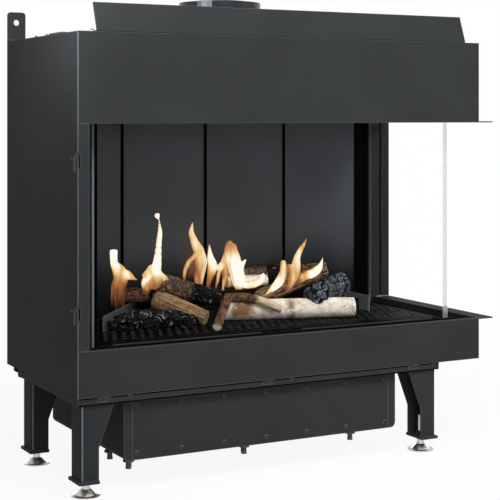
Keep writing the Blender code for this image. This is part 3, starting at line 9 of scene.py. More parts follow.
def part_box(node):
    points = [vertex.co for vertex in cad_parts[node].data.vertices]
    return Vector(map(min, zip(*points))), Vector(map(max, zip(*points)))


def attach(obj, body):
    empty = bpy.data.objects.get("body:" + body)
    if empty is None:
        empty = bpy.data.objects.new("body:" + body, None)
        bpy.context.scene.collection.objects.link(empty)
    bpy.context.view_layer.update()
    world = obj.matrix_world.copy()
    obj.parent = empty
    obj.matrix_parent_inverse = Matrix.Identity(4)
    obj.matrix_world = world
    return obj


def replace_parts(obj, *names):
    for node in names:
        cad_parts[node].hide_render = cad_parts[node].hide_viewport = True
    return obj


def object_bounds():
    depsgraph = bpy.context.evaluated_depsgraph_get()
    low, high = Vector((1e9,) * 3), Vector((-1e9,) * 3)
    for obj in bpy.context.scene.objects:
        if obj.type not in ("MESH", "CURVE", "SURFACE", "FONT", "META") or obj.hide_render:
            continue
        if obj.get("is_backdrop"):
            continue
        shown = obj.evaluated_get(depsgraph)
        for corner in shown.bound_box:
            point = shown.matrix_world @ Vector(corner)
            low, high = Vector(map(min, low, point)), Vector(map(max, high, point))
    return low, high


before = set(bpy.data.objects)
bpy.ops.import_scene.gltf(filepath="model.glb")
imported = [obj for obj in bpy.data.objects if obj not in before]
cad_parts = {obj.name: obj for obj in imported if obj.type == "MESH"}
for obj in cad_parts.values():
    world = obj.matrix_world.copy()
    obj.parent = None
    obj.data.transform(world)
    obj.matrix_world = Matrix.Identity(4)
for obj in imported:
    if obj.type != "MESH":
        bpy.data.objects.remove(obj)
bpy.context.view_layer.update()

# Stand. An underframe of folded sheet steel on four folded legs, all in a fine
# textured anthracite powder coat, with a painted highlight along its bent edges.


def sheen(red, green, blue):
    """A colour read off as 0 to 255, as the shaders count it."""
    levels = [c / 255 for c in (red, green, blue)]
    return tuple(((c + 0.055) / 1.055) ** 2.4 if c > 0.04 else c / 12.92 for c in levels) + (1.0,)


def wire(tree, kind, feeds=None, **settings):
    """Puts a node in the tree, sets it up, and feeds its sockets with values or links."""
    made = tree.nodes.new(kind)
    for key, value in settings.items():
        setattr(made, key, value)
    for key, value in (feeds or {}).items():
        if isinstance(value, bpy.types.NodeSocket):
            tree.links.new(value, made.inputs[key])
        else:
            made.inputs[key].default_value = value
    return made


def ramp(tree, factor, *stops):
    """A colour ramp through (place, colour) stops."""
    made = wire(tree, "ShaderNodeValToRGB", {"Fac": factor})
    elements = made.color_ramp.elements
    while len(elements) < len(stops):
        elements.new(0.5)
    for element, (place, colour) in zip(elements, stops):
        element.position = place
        element.color = colour
    return made.outputs["Color"]


def blend_colours(tree, share, first, second):
    """The first colour going over into the second as the share goes from 0 to 1."""
    made = wire(tree, "ShaderNodeMix", data_type="RGBA")
    for place, value in ((0, share), (6, first), (7, second)):
        if isinstance(value, bpy.types.NodeSocket):
            tree.links.new(value, made.inputs[place])
        else:
            made.inputs[place].default_value = value
    return made.outputs[2]


def effect(name, takes, gives):
    """An empty shader node group with these inputs and outputs."""
    group = bpy.data.node_groups.new(name, "ShaderNodeTree")
    for label, value in takes.items():
        kind = "NodeSocketColor" if isinstance(value, tuple) else "NodeSocketFloat"
        group.interface.new_socket(label, in_out="INPUT", socket_type=kind).default_value = value
    for label in gives:
        kind = "NodeSocketColor" if label == "Colour" else "NodeSocketFloat"
        group.interface.new_socket(label, in_out="OUTPUT", socket_type=kind)
    return group, group.nodes.new("NodeGroupInput").outputs, group.nodes.new("NodeGroupOutput").inputs


def finish_of(name, texture, values, bump=0.0, **plain):
    """A material whose colour, roughness and bump come from a texture group with its own values."""
    made = bpy.data.materials.new(name)
    made.use_nodes = True
    tree = made.node_tree
    surface = tree.nodes["Principled BSDF"]
    group = wire(tree, "ShaderNodeGroup", node_tree=texture)
    for label, value in values.items():
        group.inputs[label].default_value = value
    for label, socket in (("Colour", "Base Color"), ("Roughness", "Roughness")):
        if label in group.outputs:
            tree.links.new(group.outputs[label], surface.inputs[socket])
    if bump:
        relief = wire(tree, "ShaderNodeBump", {"Height": group.outputs["Height"], "Distance": bump})
        tree.links.new(relief.outputs["Normal"], surface.inputs["Normal"])
    for label, value in plain.items():
        surface.inputs[label.replace("_", " ")].default_value = value
    return made


def dress(material, *nodes):
    """Gives CAD nodes this finish in place of their plain one."""
    for name in nodes:
        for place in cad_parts[name].material_slots:
            place.material = material


def coat_texture():
    """Powder coat: fine orange peel, a little cloudiness, and a painted highlight on bent edges."""
    takes = {"Paint": sheen(49, 51, 52), "Edge": sheen(88, 93, 97), "Edge Width": 0.003, "Cloud": 0.1, "Gloss": 0.42}
    group, ins, outs = effect("powder coat with painted edge highlight", takes, ("Colour", "Roughness", "Height"))
    place = wire(group, "ShaderNodeTexCoord").outputs["Object"]
    cloud = wire(group, "ShaderNodeTexNoise", {"Vector": place, "Scale": 5.0, "Detail": 3.0}).outputs["Fac"]
    peel = wire(group, "ShaderNodeTexNoise", {"Vector": place, "Scale": 720.0, "Detail": 2.0}).outputs["Fac"]
    # The bevel mask below mixes a lighter colour into bent edges: a painted highlight where a rounded fold would catch
    # the light.
    bent = wire(group, "ShaderNodeBevel", {"Radius": ins["Edge Width"]}, samples=4).outputs["Normal"]
    flat = wire(group, "ShaderNodeNewGeometry").outputs["Normal"]
    turn = wire(group, "ShaderNodeVectorMath", {0: bent, 1: flat}, operation="DOT_PRODUCT").outputs["Value"]
    edge = wire(group, "ShaderNodeMapRange", {"Value": turn, "From Min": 0.99, "From Max": 0.82, "To Max": 0.9}).outputs[0]
    light = wire(group, "ShaderNodeMapRange", {"Value": cloud, "From Min": 0.3, "From Max": 0.7}).outputs[0]
    low = wire(group, "ShaderNodeMath", {0: 1.0, 1: ins["Cloud"]}, operation="SUBTRACT").outputs[0]
    high = wire(group, "ShaderNodeMath", {0: 1.0, 1: ins["Cloud"]}, operation="ADD").outputs[0]
    gain = wire(group, "ShaderNodeMapRange", {"Value": light, "To Min": low, "To Max": high}).outputs[0]
    body = wire(group, "ShaderNodeVectorMath", {0: ins["Paint"], "Scale": gain}, operation="SCALE").outputs[0]
    group.links.new(blend_colours(group, edge, body, ins["Edge"]), outs["Colour"])
    wear = wire(group, "ShaderNodeMath", {0: peel, 1: 0.16, 2: ins["Gloss"]}, operation="MULTIPLY_ADD").outputs[0]
    group.links.new(wear, outs["Roughness"])
    group.links.new(peel, outs["Height"])
    return group


POWDER_COAT = coat_texture()
anthracite = finish_of("anthracite powder coat with painted edge highlight", POWDER_COAT, {}, bump=0.00025, Specular_IOR_Level=0.01)
LEGS = ("leg_front_left", "leg_front_right", "leg_rear_left", "leg_rear_right")
dress(anthracite, "underframe", *LEGS)

# Frame screws and joining plate. Dome head screws hold the casing to the underframe in
# pairs, half hidden by the panel's edge, and a thin lapped plate shows at the left end.


def screw_tree():
    """Dome heads with a dark hexagon standing in for the socket, painted shade in place of a recess, set on a mesh's
    points and turned to face outwards.
    """
    tree = bpy.data.node_groups.new("screw heads", "GeometryNodeTree")
    sockets = (
        ("Geometry", "Geometry", "INPUT"),
        ("Head Radius", "Float", "INPUT"),
        ("Head Rise", "Float", "INPUT"),
        ("Head Finish", "Material", "INPUT"),
        ("Socket Shade Finish", "Material", "INPUT"),
        ("Geometry", "Geometry", "OUTPUT"),
    )
    for label, kind, way in sockets:
        tree.interface.new_socket(label, in_out=way, socket_type="NodeSocket" + kind)
    ins = tree.nodes.new("NodeGroupInput").outputs
    dome = wire(tree, "GeometryNodeMeshUVSphere", {"Segments": 20, "Rings": 10, "Radius": ins["Head Radius"]}).outputs[0]
    squash = wire(tree, "ShaderNodeMath", {0: ins["Head Rise"], 1: ins["Head Radius"]}, operation="DIVIDE").outputs[0]
    flat = wire(tree, "ShaderNodeCombineXYZ", {"X": 1.0, "Y": 1.0, "Z": squash}).outputs[0]
    dome = wire(tree, "GeometryNodeTransform", {"Geometry": dome, "Scale": flat}).outputs[0]
    bore = wire(tree, "ShaderNodeMath", {0: ins["Head Radius"], 1: 0.52}, operation="MULTIPLY").outputs[0]
    deep = wire(tree, "ShaderNodeMath", {0: ins["Head Rise"], 1: 2.06}, operation="MULTIPLY").outputs[0]
    hexagon = {"Vertices": 6, "Radius Top": bore, "Radius Bottom": bore, "Depth": deep}
    hollow = wire(tree, "GeometryNodeMeshCone", hexagon).outputs["Mesh"]
    lower = wire(tree, "ShaderNodeMath", {0: ins["Head Rise"], 1: -1.0}, operation="MULTIPLY").outputs[0]
    drop = wire(tree, "ShaderNodeCombineXYZ", {"Z": lower}).outputs[0]
    hollow = wire(tree, "GeometryNodeTransform", {"Geometry": hollow, "Translation": drop}).outputs[0]
    mark = {"Geometry": hollow, "Name": "hollow", "Value": True}
    hollow = wire(tree, "GeometryNodeStoreNamedAttribute", mark, data_type="BOOLEAN", domain="FACE").outputs[0]
    head = wire(tree, "GeometryNodeJoinGeometry")
    tree.links.new(dome, head.inputs[0])
    tree.links.new(hollow, head.inputs[0])
    facing = wire(tree, "GeometryNodeInputNamedAttribute", {"Name": "facing"}, data_type="FLOAT_VECTOR").outputs[0]
    turn = wire(tree, "FunctionNodeAlignRotationToVector", {"Vector": facing}, axis="Z").outputs[0]
    spread = wire(tree, "GeometryNodeInstanceOnPoints", {"Points": ins["Geometry"], "Instance": head.outputs[0], "Rotation": turn})
    whole = wire(tree, "GeometryNodeRealizeInstances", {"Geometry": spread.outputs[0]}).outputs[0]
    whole = wire(tree, "GeometryNodeSetMaterial", {"Geometry": whole, "Material": ins["Head Finish"]}).outputs[0]
    inside = wire(tree, "GeometryNodeInputNamedAttribute", {"Name": "hollow"}, data_type="BOOLEAN").outputs[0]
    sockets = {"Geometry": whole, "Selection": inside, "Material": ins["Socket Shade Finish"]}
    whole = wire(tree, "GeometryNodeSetMaterial", sockets).outputs[0]
    tree.links.new(whole, tree.nodes.new("NodeGroupOutput").inputs[0])
    return tree


def grown(name, start, tree, values):
    """Runs a tree on a start mesh with its inputs set, and returns the result as a plain mesh object."""
    seed = bpy.data.objects.new(name + "_start", start)
    bpy.context.collection.objects.link(seed)
    modifier = seed.modifiers.new("tree", "NODES")
    modifier.node_group = tree
    for item in tree.interface.items_tree:
        if item.in_out == "INPUT" and item.name in values:
            modifier[item.identifier] = values[item.name]
    graph = bpy.context.evaluated_depsgraph_get()
    mesh = bpy.data.meshes.new_from_object(seed.evaluated_get(graph))
    bpy.data.objects.remove(seed)
    return placed(name, mesh)


def placed(name, mesh):
    """A new object for a finished mesh, at the origin."""
    made = bpy.data.objects.new(name, mesh)
    bpy.context.collection.objects.link(made)
    return made


def fitted(piece, body):
    """The piece rides on its body."""
    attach(piece, body)
    return piece


SCREW_TREE = screw_tree()


def screws(name, places, radius, rise, finish, hollow):
    """Dome head screws at (point, facing) places in metres."""
    mesh = bpy.data.meshes.new(name)
    mesh.from_pydata([point for point, facing in places], [], [])
    facings = mesh.attributes.new("facing", "FLOAT_VECTOR", "POINT")
    facings.data.foreach_set("vector", [c for point, facing in places for c in facing])
    values = {"Head Radius": radius, "Head Rise": rise, "Head Finish": finish, "Socket Shade Finish": hollow}
    return fitted(grown(name, mesh, SCREW_TREE, values), "fireplace")


def slab(name, low, high, finish, bevel=0.0006):
    """A flat strip between two corners, with its edges eased."""
    work = bmesh.new()
    bmesh.ops.create_cube(work, size=1)
    for vertex in work.verts:
        vertex.co = Vector(low[i] if vertex.co[i] < 0 else high[i] for i in range(3))
    bmesh.ops.bevel(work, geom=work.edges[:], offset=bevel, segments=2, affect="EDGES")
    mesh = bpy.data.meshes.new(name)
    work.to_mesh(mesh)
    work.free()
    mesh.materials.append(finish)
    return placed(name, mesh)


screw_paint = finish_of(
    "painted screw", POWDER_COAT, {"Paint": sheen(58, 60, 62), "Edge": sheen(120, 124, 128), "Edge Width": 0.0008},
    bump=0.0001, Specular_IOR_Level=0.25,
)
# The black socket finish is painted shade, standing in for the shaded hexagon recess.
socket_shade_black = finish_of(
    "screw socket shade", POWDER_COAT, {"Paint": sheen(12, 12, 13), "Edge": sheen(30, 31, 32), "Gloss": 0.5},
    bump=0.0001, Specular_IOR_Level=0.1,
)
frame_low, frame_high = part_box("underframe")
casing_low, casing_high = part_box("left_side_panel")
FRAME_SCREWS = (0.069, 0.120, 0.470, 0.523, 0.871, 0.920)
screws(
    "frame_screws",
    [((frame_low.x + along, frame_low.y, frame_high.z - 0.0035), (0, -1, 0)) for along in FRAME_SCREWS],
    0.0058, 0.0024, screw_paint, socket_shade_black,
)
for i, along in enumerate((0.045, 0.446, 0.847)):
    lap_left = Vector((frame_low.x + along, frame_low.y - 0.0006, frame_low.z + 0.006))
    lap_right = Vector((frame_low.x + along + 0.026, frame_low.y - 0.0001, frame_high.z - 0.0015))
    fitted(slab(f"frame_lap_plate_{i + 1}", lap_left, lap_right, anthracite), "fireplace")
# The pale strips on the left legs' front folds are a painted highlight, where a rounded fold would catch the light.
fold_highlight_paint = finish_of("painted fold highlight", POWDER_COAT, {"Paint": sheen(104, 110, 115), "Edge": sheen(96, 102, 106)}, bump=0.0001, Specular_IOR_Level=0.12)
for leg in ("leg_front_left", "leg_rear_left"):
    leg_low, leg_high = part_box(leg)
    fold_low = Vector((leg_low.x + 0.0045, leg_low.y - 0.0003, leg_low.z + 0.010))
    fold_high = Vector((fold_low.x + 0.0035, leg_low.y + 0.0002, frame_low.z - 0.0005))
    fitted(slab(leg + "_fold_highlight", fold_low, fold_high, fold_highlight_paint, 0.0002), "fireplace")
# The black strips along the underframe's top and bottom front edges are painted shadow in the gaps there.
gap_shadow_black = finish_of(
    "painted gap shadow", POWDER_COAT, {"Paint": sheen(4, 4, 4), "Edge": sheen(8, 8, 8), "Gloss": 0.9}, bump=0.0001, Specular_IOR_Level=0.0,
)
for name, low, high in (("frame_shadow_upper", frame_high.z - 0.0028, frame_high.z), ("frame_shadow_lower", frame_low.z, frame_low.z + 0.0026)):
    shadow_left = Vector((frame_low.x + 0.001, frame_low.y - 0.0005, low))
    shadow_right = Vector((frame_high.x - 0.001, frame_low.y - 0.0001, high))
    fitted(slab(name, shadow_left, shadow_right, gap_shadow_black, 0.0001), "fireplace")

# Levelling feet. Turned steel cone feet on threaded studs, chromed, with faint smears
# and a fine lathe grain round them.


def metal_texture():
    """Bare or plated metal: a grain drawn out along one axis, smears, and darker patches."""
    takes = {"Metal": sheen(190, 192, 195), "Tarnish": sheen(120, 122, 126), "Grain Length": 0.02, "Patch Scale": 14.0, "Polish": 0.1, "Smear": 0.12}
    group, ins, outs = effect("metal grain", takes, ("Colour", "Roughness", "Height"))
    place = wire(group, "ShaderNodeTexCoord").outputs["Object"]
    stretch = wire(group, "ShaderNodeCombineXYZ", {"X": 1.0, "Y": 1.0, "Z": ins["Grain Length"]}).outputs[0]
    drawn = wire(group, "ShaderNodeVectorMath", {0: place, 1: stretch}, operation="MULTIPLY").outputs[0]
    grain = wire(group, "ShaderNodeTexNoise", {"Vector": drawn, "Scale": 900.0, "Detail": 2.0}).outputs["Fac"]
    patch = wire(group, "ShaderNodeTexNoise", {"Vector": place, "Scale": ins["Patch Scale"], "Detail": 4.0, "Roughness": 0.6}).outputs["Fac"]
    share = wire(group, "ShaderNodeMapRange", {"Value": patch, "From Min": 0.42, "From Max": 0.78}).outputs[0]
    group.links.new(blend_colours(group, share, ins["Metal"], ins["Tarnish"]), outs["Colour"])
    smeared = wire(group, "ShaderNodeMath", {0: share, 1: ins["Smear"], 2: ins["Polish"]}, operation="MULTIPLY_ADD").outputs[0]
    rough = wire(group, "ShaderNodeMath", {0: grain, 1: 0.06, 2: smeared}, operation="MULTIPLY_ADD").outputs[0]
    group.links.new(rough, outs["Roughness"])
    group.links.new(grain, outs["Height"])
    return group


METAL_GRAIN = metal_texture()
chrome = finish_of(
    "chromed steel", METAL_GRAIN,
    {"Metal": sheen(206, 204, 200), "Tarnish": sheen(176, 170, 163), "Grain Length": 18.0, "Polish": 0.3, "Smear": 0.14},
    bump=0.00004, Metallic=1.0,
)
dress(chrome, *("levelling_foot_" + leg[4:] for leg in LEGS))

# Control box. A folded tray hung under the casing, bolted from below, and a screwed
# cover plate on its front with two rows of seven dome head screws.

dress(anthracite, "control_box_tray", "control_box_cover")
cover_low, cover_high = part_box("control_box_cover")
COVER_SCREW_INSET = 0.0105
COVER_SCREW_DROP = 0.0122
COVER_SCREW_RISE = 0.0153
cover_run = cover_high.x - cover_low.x - 2 * COVER_SCREW_INSET
cover_rows = (cover_low.z + COVER_SCREW_RISE, cover_high.z - COVER_SCREW_DROP)
screws(
    "cover_screws",
    [
        ((cover_low.x + COVER_SCREW_INSET + cover_run * i / 6, cover_low.y, z), (0, -1, 0))
        for i in range(7)
        for z in cover_rows
    ],
    0.0058, 0.003, screw_paint, socket_shade_black,
)

tray_low, tray_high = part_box("control_box_tray")


def bolt_tree():
    """Hexagon bolts with a wide washer, hanging from a mesh's points."""
    tree = bpy.data.node_groups.new("hanging bolts", "GeometryNodeTree")
    for label, kind, way in (
        ("Geometry", "Geometry", "INPUT"), ("Washer Radius", "Float", "INPUT"), ("Bolt Radius", "Float", "INPUT"),
        ("Finish", "Material", "INPUT"), ("Geometry", "Geometry", "OUTPUT"),
    ):
        tree.interface.new_socket(label, in_out=way, socket_type="NodeSocket" + kind)
    ins = tree.nodes.new("NodeGroupInput").outputs
    whole = wire(tree, "GeometryNodeJoinGeometry")
    for size, sides, depth, top in ((ins["Washer Radius"], 28, 0.004, -0.0004), (ins["Bolt Radius"], 6, 0.011, -0.0044), (ins["Bolt Radius"], 20, 0.0045, -0.0154)):
        part = {"Vertices": sides, "Radius Top": size, "Radius Bottom": size, "Depth": depth}
        solid = wire(tree, "GeometryNodeMeshCone", part).outputs["Mesh"]
        drop = wire(tree, "ShaderNodeCombineXYZ", {"Z": top - depth}).outputs[0]
        solid = wire(tree, "GeometryNodeTransform", {"Geometry": solid, "Translation": drop}).outputs[0]
        tree.links.new(solid, whole.inputs[0])
    spread = wire(tree, "GeometryNodeInstanceOnPoints", {"Points": ins["Geometry"], "Instance": whole.outputs[0]})
    made = wire(tree, "GeometryNodeRealizeInstances", {"Geometry": spread.outputs[0]}).outputs[0]
    made = wire(tree, "GeometryNodeSetMaterial", {"Geometry": made, "Material": ins["Finish"]}).outputs[0]
    tree.links.new(made, tree.nodes.new("NodeGroupOutput").inputs[0])
    return tree


TRAY_BOLTS = ((0.024, 0.03), (0.019, 0.25), (0.427, 0.03), (0.83, 0.03))
tray_floor = cover_low.z
bolt_points = bpy.data.meshes.new("tray_bolt_points")
bolt_points.from_pydata(
    [(tray_low.x + (tray_high.x - tray_low.x) * x, tray_low.y + (tray_high.y - tray_low.y) * y, tray_floor) for x, y in TRAY_BOLTS], [], []
)
bolts = grown("tray_bolts", bolt_points, bolt_tree(), {"Washer Radius": 0.0125, "Bolt Radius": 0.0066, "Finish": screw_paint})
fitted(bolts, "fireplace")

# Gas train inside the box. A die cast valve with its regulator, two moulded knobs and a
# red igniter button, steel pipes with a thin zinc skin, and a moulded radio receiver.


def moulded_texture():
    """Moulded plastic: spark grain, with a faint bloom."""
    takes = {"Plastic": sheen(26, 26, 27), "Bloom": sheen(46, 46, 48), "Gloss": 0.42}
    group, ins, outs = effect("moulded grain", takes, ("Colour", "Roughness", "Height"))
    place = wire(group, "ShaderNodeTexCoord").outputs["Object"]
    grain = wire(group, "ShaderNodeTexVoronoi", {"Vector": place, "Scale": 1500.0}).outputs["Distance"]
    bloom = wire(group, "ShaderNodeTexNoise", {"Vector": place, "Scale": 60.0, "Detail": 3.0}).outputs["Fac"]
    share = wire(group, "ShaderNodeMapRange", {"Value": bloom, "From Min": 0.45, "From Max": 0.8}).outputs[0]
    group.links.new(blend_colours(group, share, ins["Plastic"], ins["Bloom"]), outs["Colour"])
    rough = wire(group, "ShaderNodeMath", {0: grain, 1: 0.12, 2: ins["Gloss"]}, operation="MULTIPLY_ADD").outputs[0]
    group.links.new(rough, outs["Roughness"])
    group.links.new(grain, outs["Height"])
    return group


MOULDED_GRAIN = moulded_texture()
black_plastic = finish_of("black moulding", MOULDED_GRAIN, {}, bump=0.00012)
red_plastic = finish_of(
    "red moulding", MOULDED_GRAIN, {"Plastic": sheen(168, 24, 20), "Bloom": sheen(190, 52, 44), "Gloss": 0.32}, bump=0.00008
)
cast_alloy = finish_of(
    "die cast alloy", METAL_GRAIN,
    {"Metal": sheen(172, 174, 176), "Tarnish": sheen(120, 121, 122), "Grain Length": 1.0, "Patch Scale": 70.0, "Polish": 0.4, "Smear": 0.2},
    bump=0.0004, Metallic=1.0,
)
zinc_pipe = finish_of(
    "zinc plated pipe", METAL_GRAIN,
    {"Metal": sheen(168, 166, 158), "Tarnish": sheen(116, 112, 100), "Grain Length": 0.4, "Patch Scale": 45.0, "Polish": 0.28, "Smear": 0.2},
    bump=0.0001, Metallic=1.0,
)
dress(cast_alloy, "gas_valve")
dress(black_plastic, "flame_knob", "manual_knob", "receiver_box")
dress(red_plastic, "igniter_button")
dress(zinc_pipe, "gas_inlet_pipe", "burner_supply_pipe")

# Casing. Folded sheet panels under the same powder coat, with trim hooks on the left
# edge, and the flue's draught deflector and wall brackets on the top.

CASING = (
    "left_side_panel", "rear_panel", "top_plate", "floor_plate", "upper_casing_panel", "lower_casing_panel",
    "rear_corner_post", "top_deflector", "wall_bracket_left", "wall_bracket_right",
)
dress(anthracite, *CASING)
zinc_screw = finish_of(
    "zinc plated screw", METAL_GRAIN, {"Metal": sheen(150, 152, 155), "Tarnish": sheen(90, 90, 92), "Polish": 0.25},
    bump=0.00005, Metallic=1.0,
)
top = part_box("top_plate")[1].z
left, front = frame_low.x, casing_low.y
right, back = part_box("wall_bracket_right")[1].x, casing_high.y
TOP_SCREWS = ((0.016, 0.312), (0.016, 0.24), (0.036, 0.012))
mirrored = [(right - left - x, y) for x, y in TOP_SCREWS[:2]]
screws(
    "top_screws",
    [((left + x, front + y, top), (0, 0, 1)) for x, y in (*TOP_SCREWS, *mirrored)],
    0.0055, 0.0052, zinc_screw, socket_shade_black,
)
tab_low = Vector((left + 0.008, front + 0.128, top + 0.0002))
fitted(slab("top_tab", tab_low, tab_low + Vector((0.016, 0.078, 0.0045)), anthracite, 0.001), "fireplace")
BACK_SCREW_STEPS = 7
back_screws = [
    ((left + 0.03 + (right - left - 0.06) * i / (BACK_SCREW_STEPS - 1), back, z), (0, 1, 0))
    for i in range(BACK_SCREW_STEPS)
    for z in (casing_low.z + 0.015, top - 0.015)
]
back_low, back_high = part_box("rear_panel")
screws(
    "back_screws", [((p[0], back_high.y - 0.005, p[2]), f) for p, f in back_screws],
    0.0055, 0.0044, zinc_screw, socket_shade_black,
)

# A pale strip on the casing's front left corner: a painted highlight on the fold.
fold_low = Vector((left - 0.0004, front + 0.0002, casing_low.z + 0.001))
fold_high = Vector((left + 0.0001, front + 0.0052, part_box("upper_casing_panel")[1].z - 0.001))
fitted(slab("casing_corner_fold_highlight", fold_low, fold_high, fold_highlight_paint, 0.0001), "fireplace")

# Flue. The outer duct is the air intake and the inner pipe takes the flue gas. Both are
# rolled stainless steel with bead rings and a rolled rim; their metal colour is darkened as a
# painted dim reflection of the surroundings.

# The dark metal colours are painted shade, standing in for the dim surroundings the steel reflects.
flue_outer = finish_of(
    "stainless duct with painted dim reflection", METAL_GRAIN,
    {"Metal": sheen(58, 60, 63), "Tarnish": sheen(52, 53, 55), "Grain Length": 0.02, "Patch Scale": 5.0, "Polish": 0.14, "Smear": 0.06},
    bump=0.00004, Metallic=1.0,
)
flue_inner = finish_of(
    "inner stainless pipe", METAL_GRAIN,
    {"Metal": sheen(92, 94, 97), "Tarnish": sheen(76, 76, 76), "Grain Length": 0.02, "Patch Scale": 7.0, "Polish": 0.3, "Smear": 0.08},
    bump=0.00004, Metallic=1.0,
)
dress(flue_outer, "flue_outer_spigot")
dress(flue_inner, "flue_inner_pipe")

# Combustion chamber. Heat resistant dark paint on the liners, tray and roof, a little
# chalky, with a painted highlight where the liners' grooves are folded.

chamber = finish_of(
    "chamber paint", POWDER_COAT,
    {"Paint": sheen(102, 105, 109), "Edge": sheen(122, 125, 129), "Edge Width": 0.0022, "Cloud": 0.08, "Gloss": 0.6},
    bump=0.0003, Specular_IOR_Level=0.03,
)
soot = finish_of(
    "chamber black", POWDER_COAT,
    {"Paint": sheen(9, 9, 10), "Edge": sheen(52, 54, 56), "Edge Width": 0.0014, "Cloud": 0.2, "Gloss": 0.5},
    bump=0.0003, Specular_IOR_Level=0.03,
)
dress(chamber, "left_glass_post", "rear_glass_post")


def shaded_chamber_texture():
    """The chamber paint with painted shade: darker low down behind the logs, and darker under the roof."""
    takes = {"Paint": sheen(82, 85, 89), "Painted Shade": sheen(16, 16, 17), "Edge": sheen(100, 104, 108), "Low": 0.395, "High": 0.58, "Roof": 0.86}
    group, ins, outs = effect("painted chamber shade", takes, ("Colour", "Roughness", "Height"))
    place = wire(group, "ShaderNodeTexCoord").outputs["Object"]
    height = wire(group, "ShaderNodeSeparateXYZ", {0: place}).outputs["Z"]
    cloud = wire(group, "ShaderNodeTexNoise", {"Vector": place, "Scale": 9.0, "Detail": 3.0}).outputs["Fac"]
    # Painted shade: the paint goes dark below the logs' height and towards the roof, where shade falls.
    uneven = wire(group, "ShaderNodeMath", {0: cloud, 1: 0.06, 2: height}, operation="MULTIPLY_ADD").outputs[0]
    unshaded = wire(group, "ShaderNodeMapRange", {"Value": uneven, "From Min": ins["Low"], "From Max": ins["High"]}, interpolation_type="SMOOTHSTEP").outputs[0]
    under = wire(group, "ShaderNodeMath", {0: ins["Roof"], 1: 0.13}, operation="SUBTRACT").outputs[0]
    roof_shade = wire(group, "ShaderNodeMapRange", {"Value": height, "From Min": ins["Roof"], "From Max": under, "To Min": 0.45}).outputs[0]
    unshaded = wire(group, "ShaderNodeMath", {0: unshaded, 1: roof_shade}, operation="MULTIPLY").outputs[0]
    coat = wire(group, "ShaderNodeGroup", node_tree=POWDER_COAT)
    paint = blend_colours(group, unshaded, ins["Painted Shade"], ins["Paint"])
    group.links.new(paint, coat.inputs["Paint"])
    group.links.new(ins["Edge"], coat.inputs["Edge"])
    coat.inputs["Gloss"].default_value = 0.6
    for label in ("Colour", "Roughness", "Height"):
        group.links.new(coat.outputs[label], outs[label])
    return group


shaded_chamber = finish_of("chamber paint with painted shade", shaded_chamber_texture(), {}, bump=0.0003, Specular_IOR_Level=0.03)
dress(shaded_chamber, "left_liner", *(f"back_liner_{i}" for i in range(1, 5)))
dress(soot, "hearth_tray", "chamber_roof")
joint_black = finish_of(
    "joint shadow", POWDER_COAT, {"Paint": sheen(2, 2, 2), "Edge": sheen(50, 52, 54), "Edge Width": 0.0006, "Gloss": 0.9},
    bump=0.0002, Specular_IOR_Level=0.0,
)
# The black strips below are painted shadow over the back liners' joints, along the left liner's front edge and beside
# the rear post, where grooves and gaps fall into shade.
JOINT_WIDTH = 0.0095
JOINT_PROUD = 0.0006
liners = [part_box(f"back_liner_{i}") for i in range(1, 5)]
for i, (first, second) in enumerate(zip(liners, liners[1:])):
    middle = (first[1].x + second[0].x) / 2
    low = Vector((middle - JOINT_WIDTH / 2, first[0].y - JOINT_PROUD, first[0].z + 0.001))
    high = Vector((middle + JOINT_WIDTH / 2, first[0].y - 0.0001, first[1].z - 0.001))
    fitted(slab(f"liner_joint_shadow_{i + 1}", low, high, joint_black, 0.0002), "fireplace")
corner_low = Vector((liners[0][0].x + 0.0165, liners[0][0].y - JOINT_PROUD, liners[0][0].z + 0.001))
corner_high = Vector((corner_low.x + 0.005, liners[0][0].y - 0.0001, liners[0][1].z - 0.001))
fitted(slab("liner_joint_shadow_corner", corner_low, corner_high, joint_black, 0.0002), "fireplace")
edge_low, edge_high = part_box("left_liner")
edge_low = Vector((edge_high.x - 0.0075, edge_low.y - 0.0012, edge_low.z + 0.001))
edge_high = Vector((edge_high.x + 0.0004, edge_low.y + 0.0011, edge_high.z - 0.001))
fitted(slab("liner_front_shadow", edge_low, edge_high, joint_black, 0.0002), "fireplace")
post_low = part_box("rear_glass_post")[0]
post_shadow_low = Vector((liners[3][1].x - 0.011, liners[3][0].y - 0.0006, liners[3][0].z))
post_shadow_high = Vector((post_low.x - 0.0004, liners[3][1].y, liners[3][1].z))
fitted(slab("post_shadow_strip", post_shadow_low, post_shadow_high, joint_black, 0.0004), "fireplace")

post_low, post_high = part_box("left_glass_post")
cord_low = Vector((post_low.x + 0.0055, post_low.y - 0.0007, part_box("front_glass")[0].z))
cord_high = Vector((post_low.x + 0.0125, post_low.y - 0.0001, post_high.z - 0.001))
fitted(slab("post_seal", cord_low, cord_high, joint_black, 0.0002), "fireplace")

# Glass clamp bars. Two folded bars grip the front pane's lower edge. Their top edges carry
# a painted highlight and stop short of the middle, where the supply pipe's plate is.

pane_low, pane_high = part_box("front_glass")
bar_paint = finish_of(
    "clamp bar paint", POWDER_COAT, {"Paint": sheen(24, 25, 26), "Edge": sheen(84, 87, 90), "Edge Width": 0.0012},
    bump=0.0002, Specular_IOR_Level=0.12,
)
tray_low, tray_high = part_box("hearth_tray")
BAR_TOP = 0.0030
for name, start, end in (("clamp_bar_left", 0.112, 0.486), ("clamp_bar_right", 0.595, 0.973)):
    low = Vector((left + start, pane_low.y - 0.0076, tray_high.z + 0.0002))
    high = Vector((left + end, pane_low.y - 0.0008, tray_high.z + BAR_TOP))
    fitted(slab(name, low, high, bar_paint, 0.0008), "fireplace")

# Panes. Two clear ceramic panes meet at the corner, held at the foot by a chromed clip,
# with a pale printed border down the corner edge and faint wipe marks on the outside.


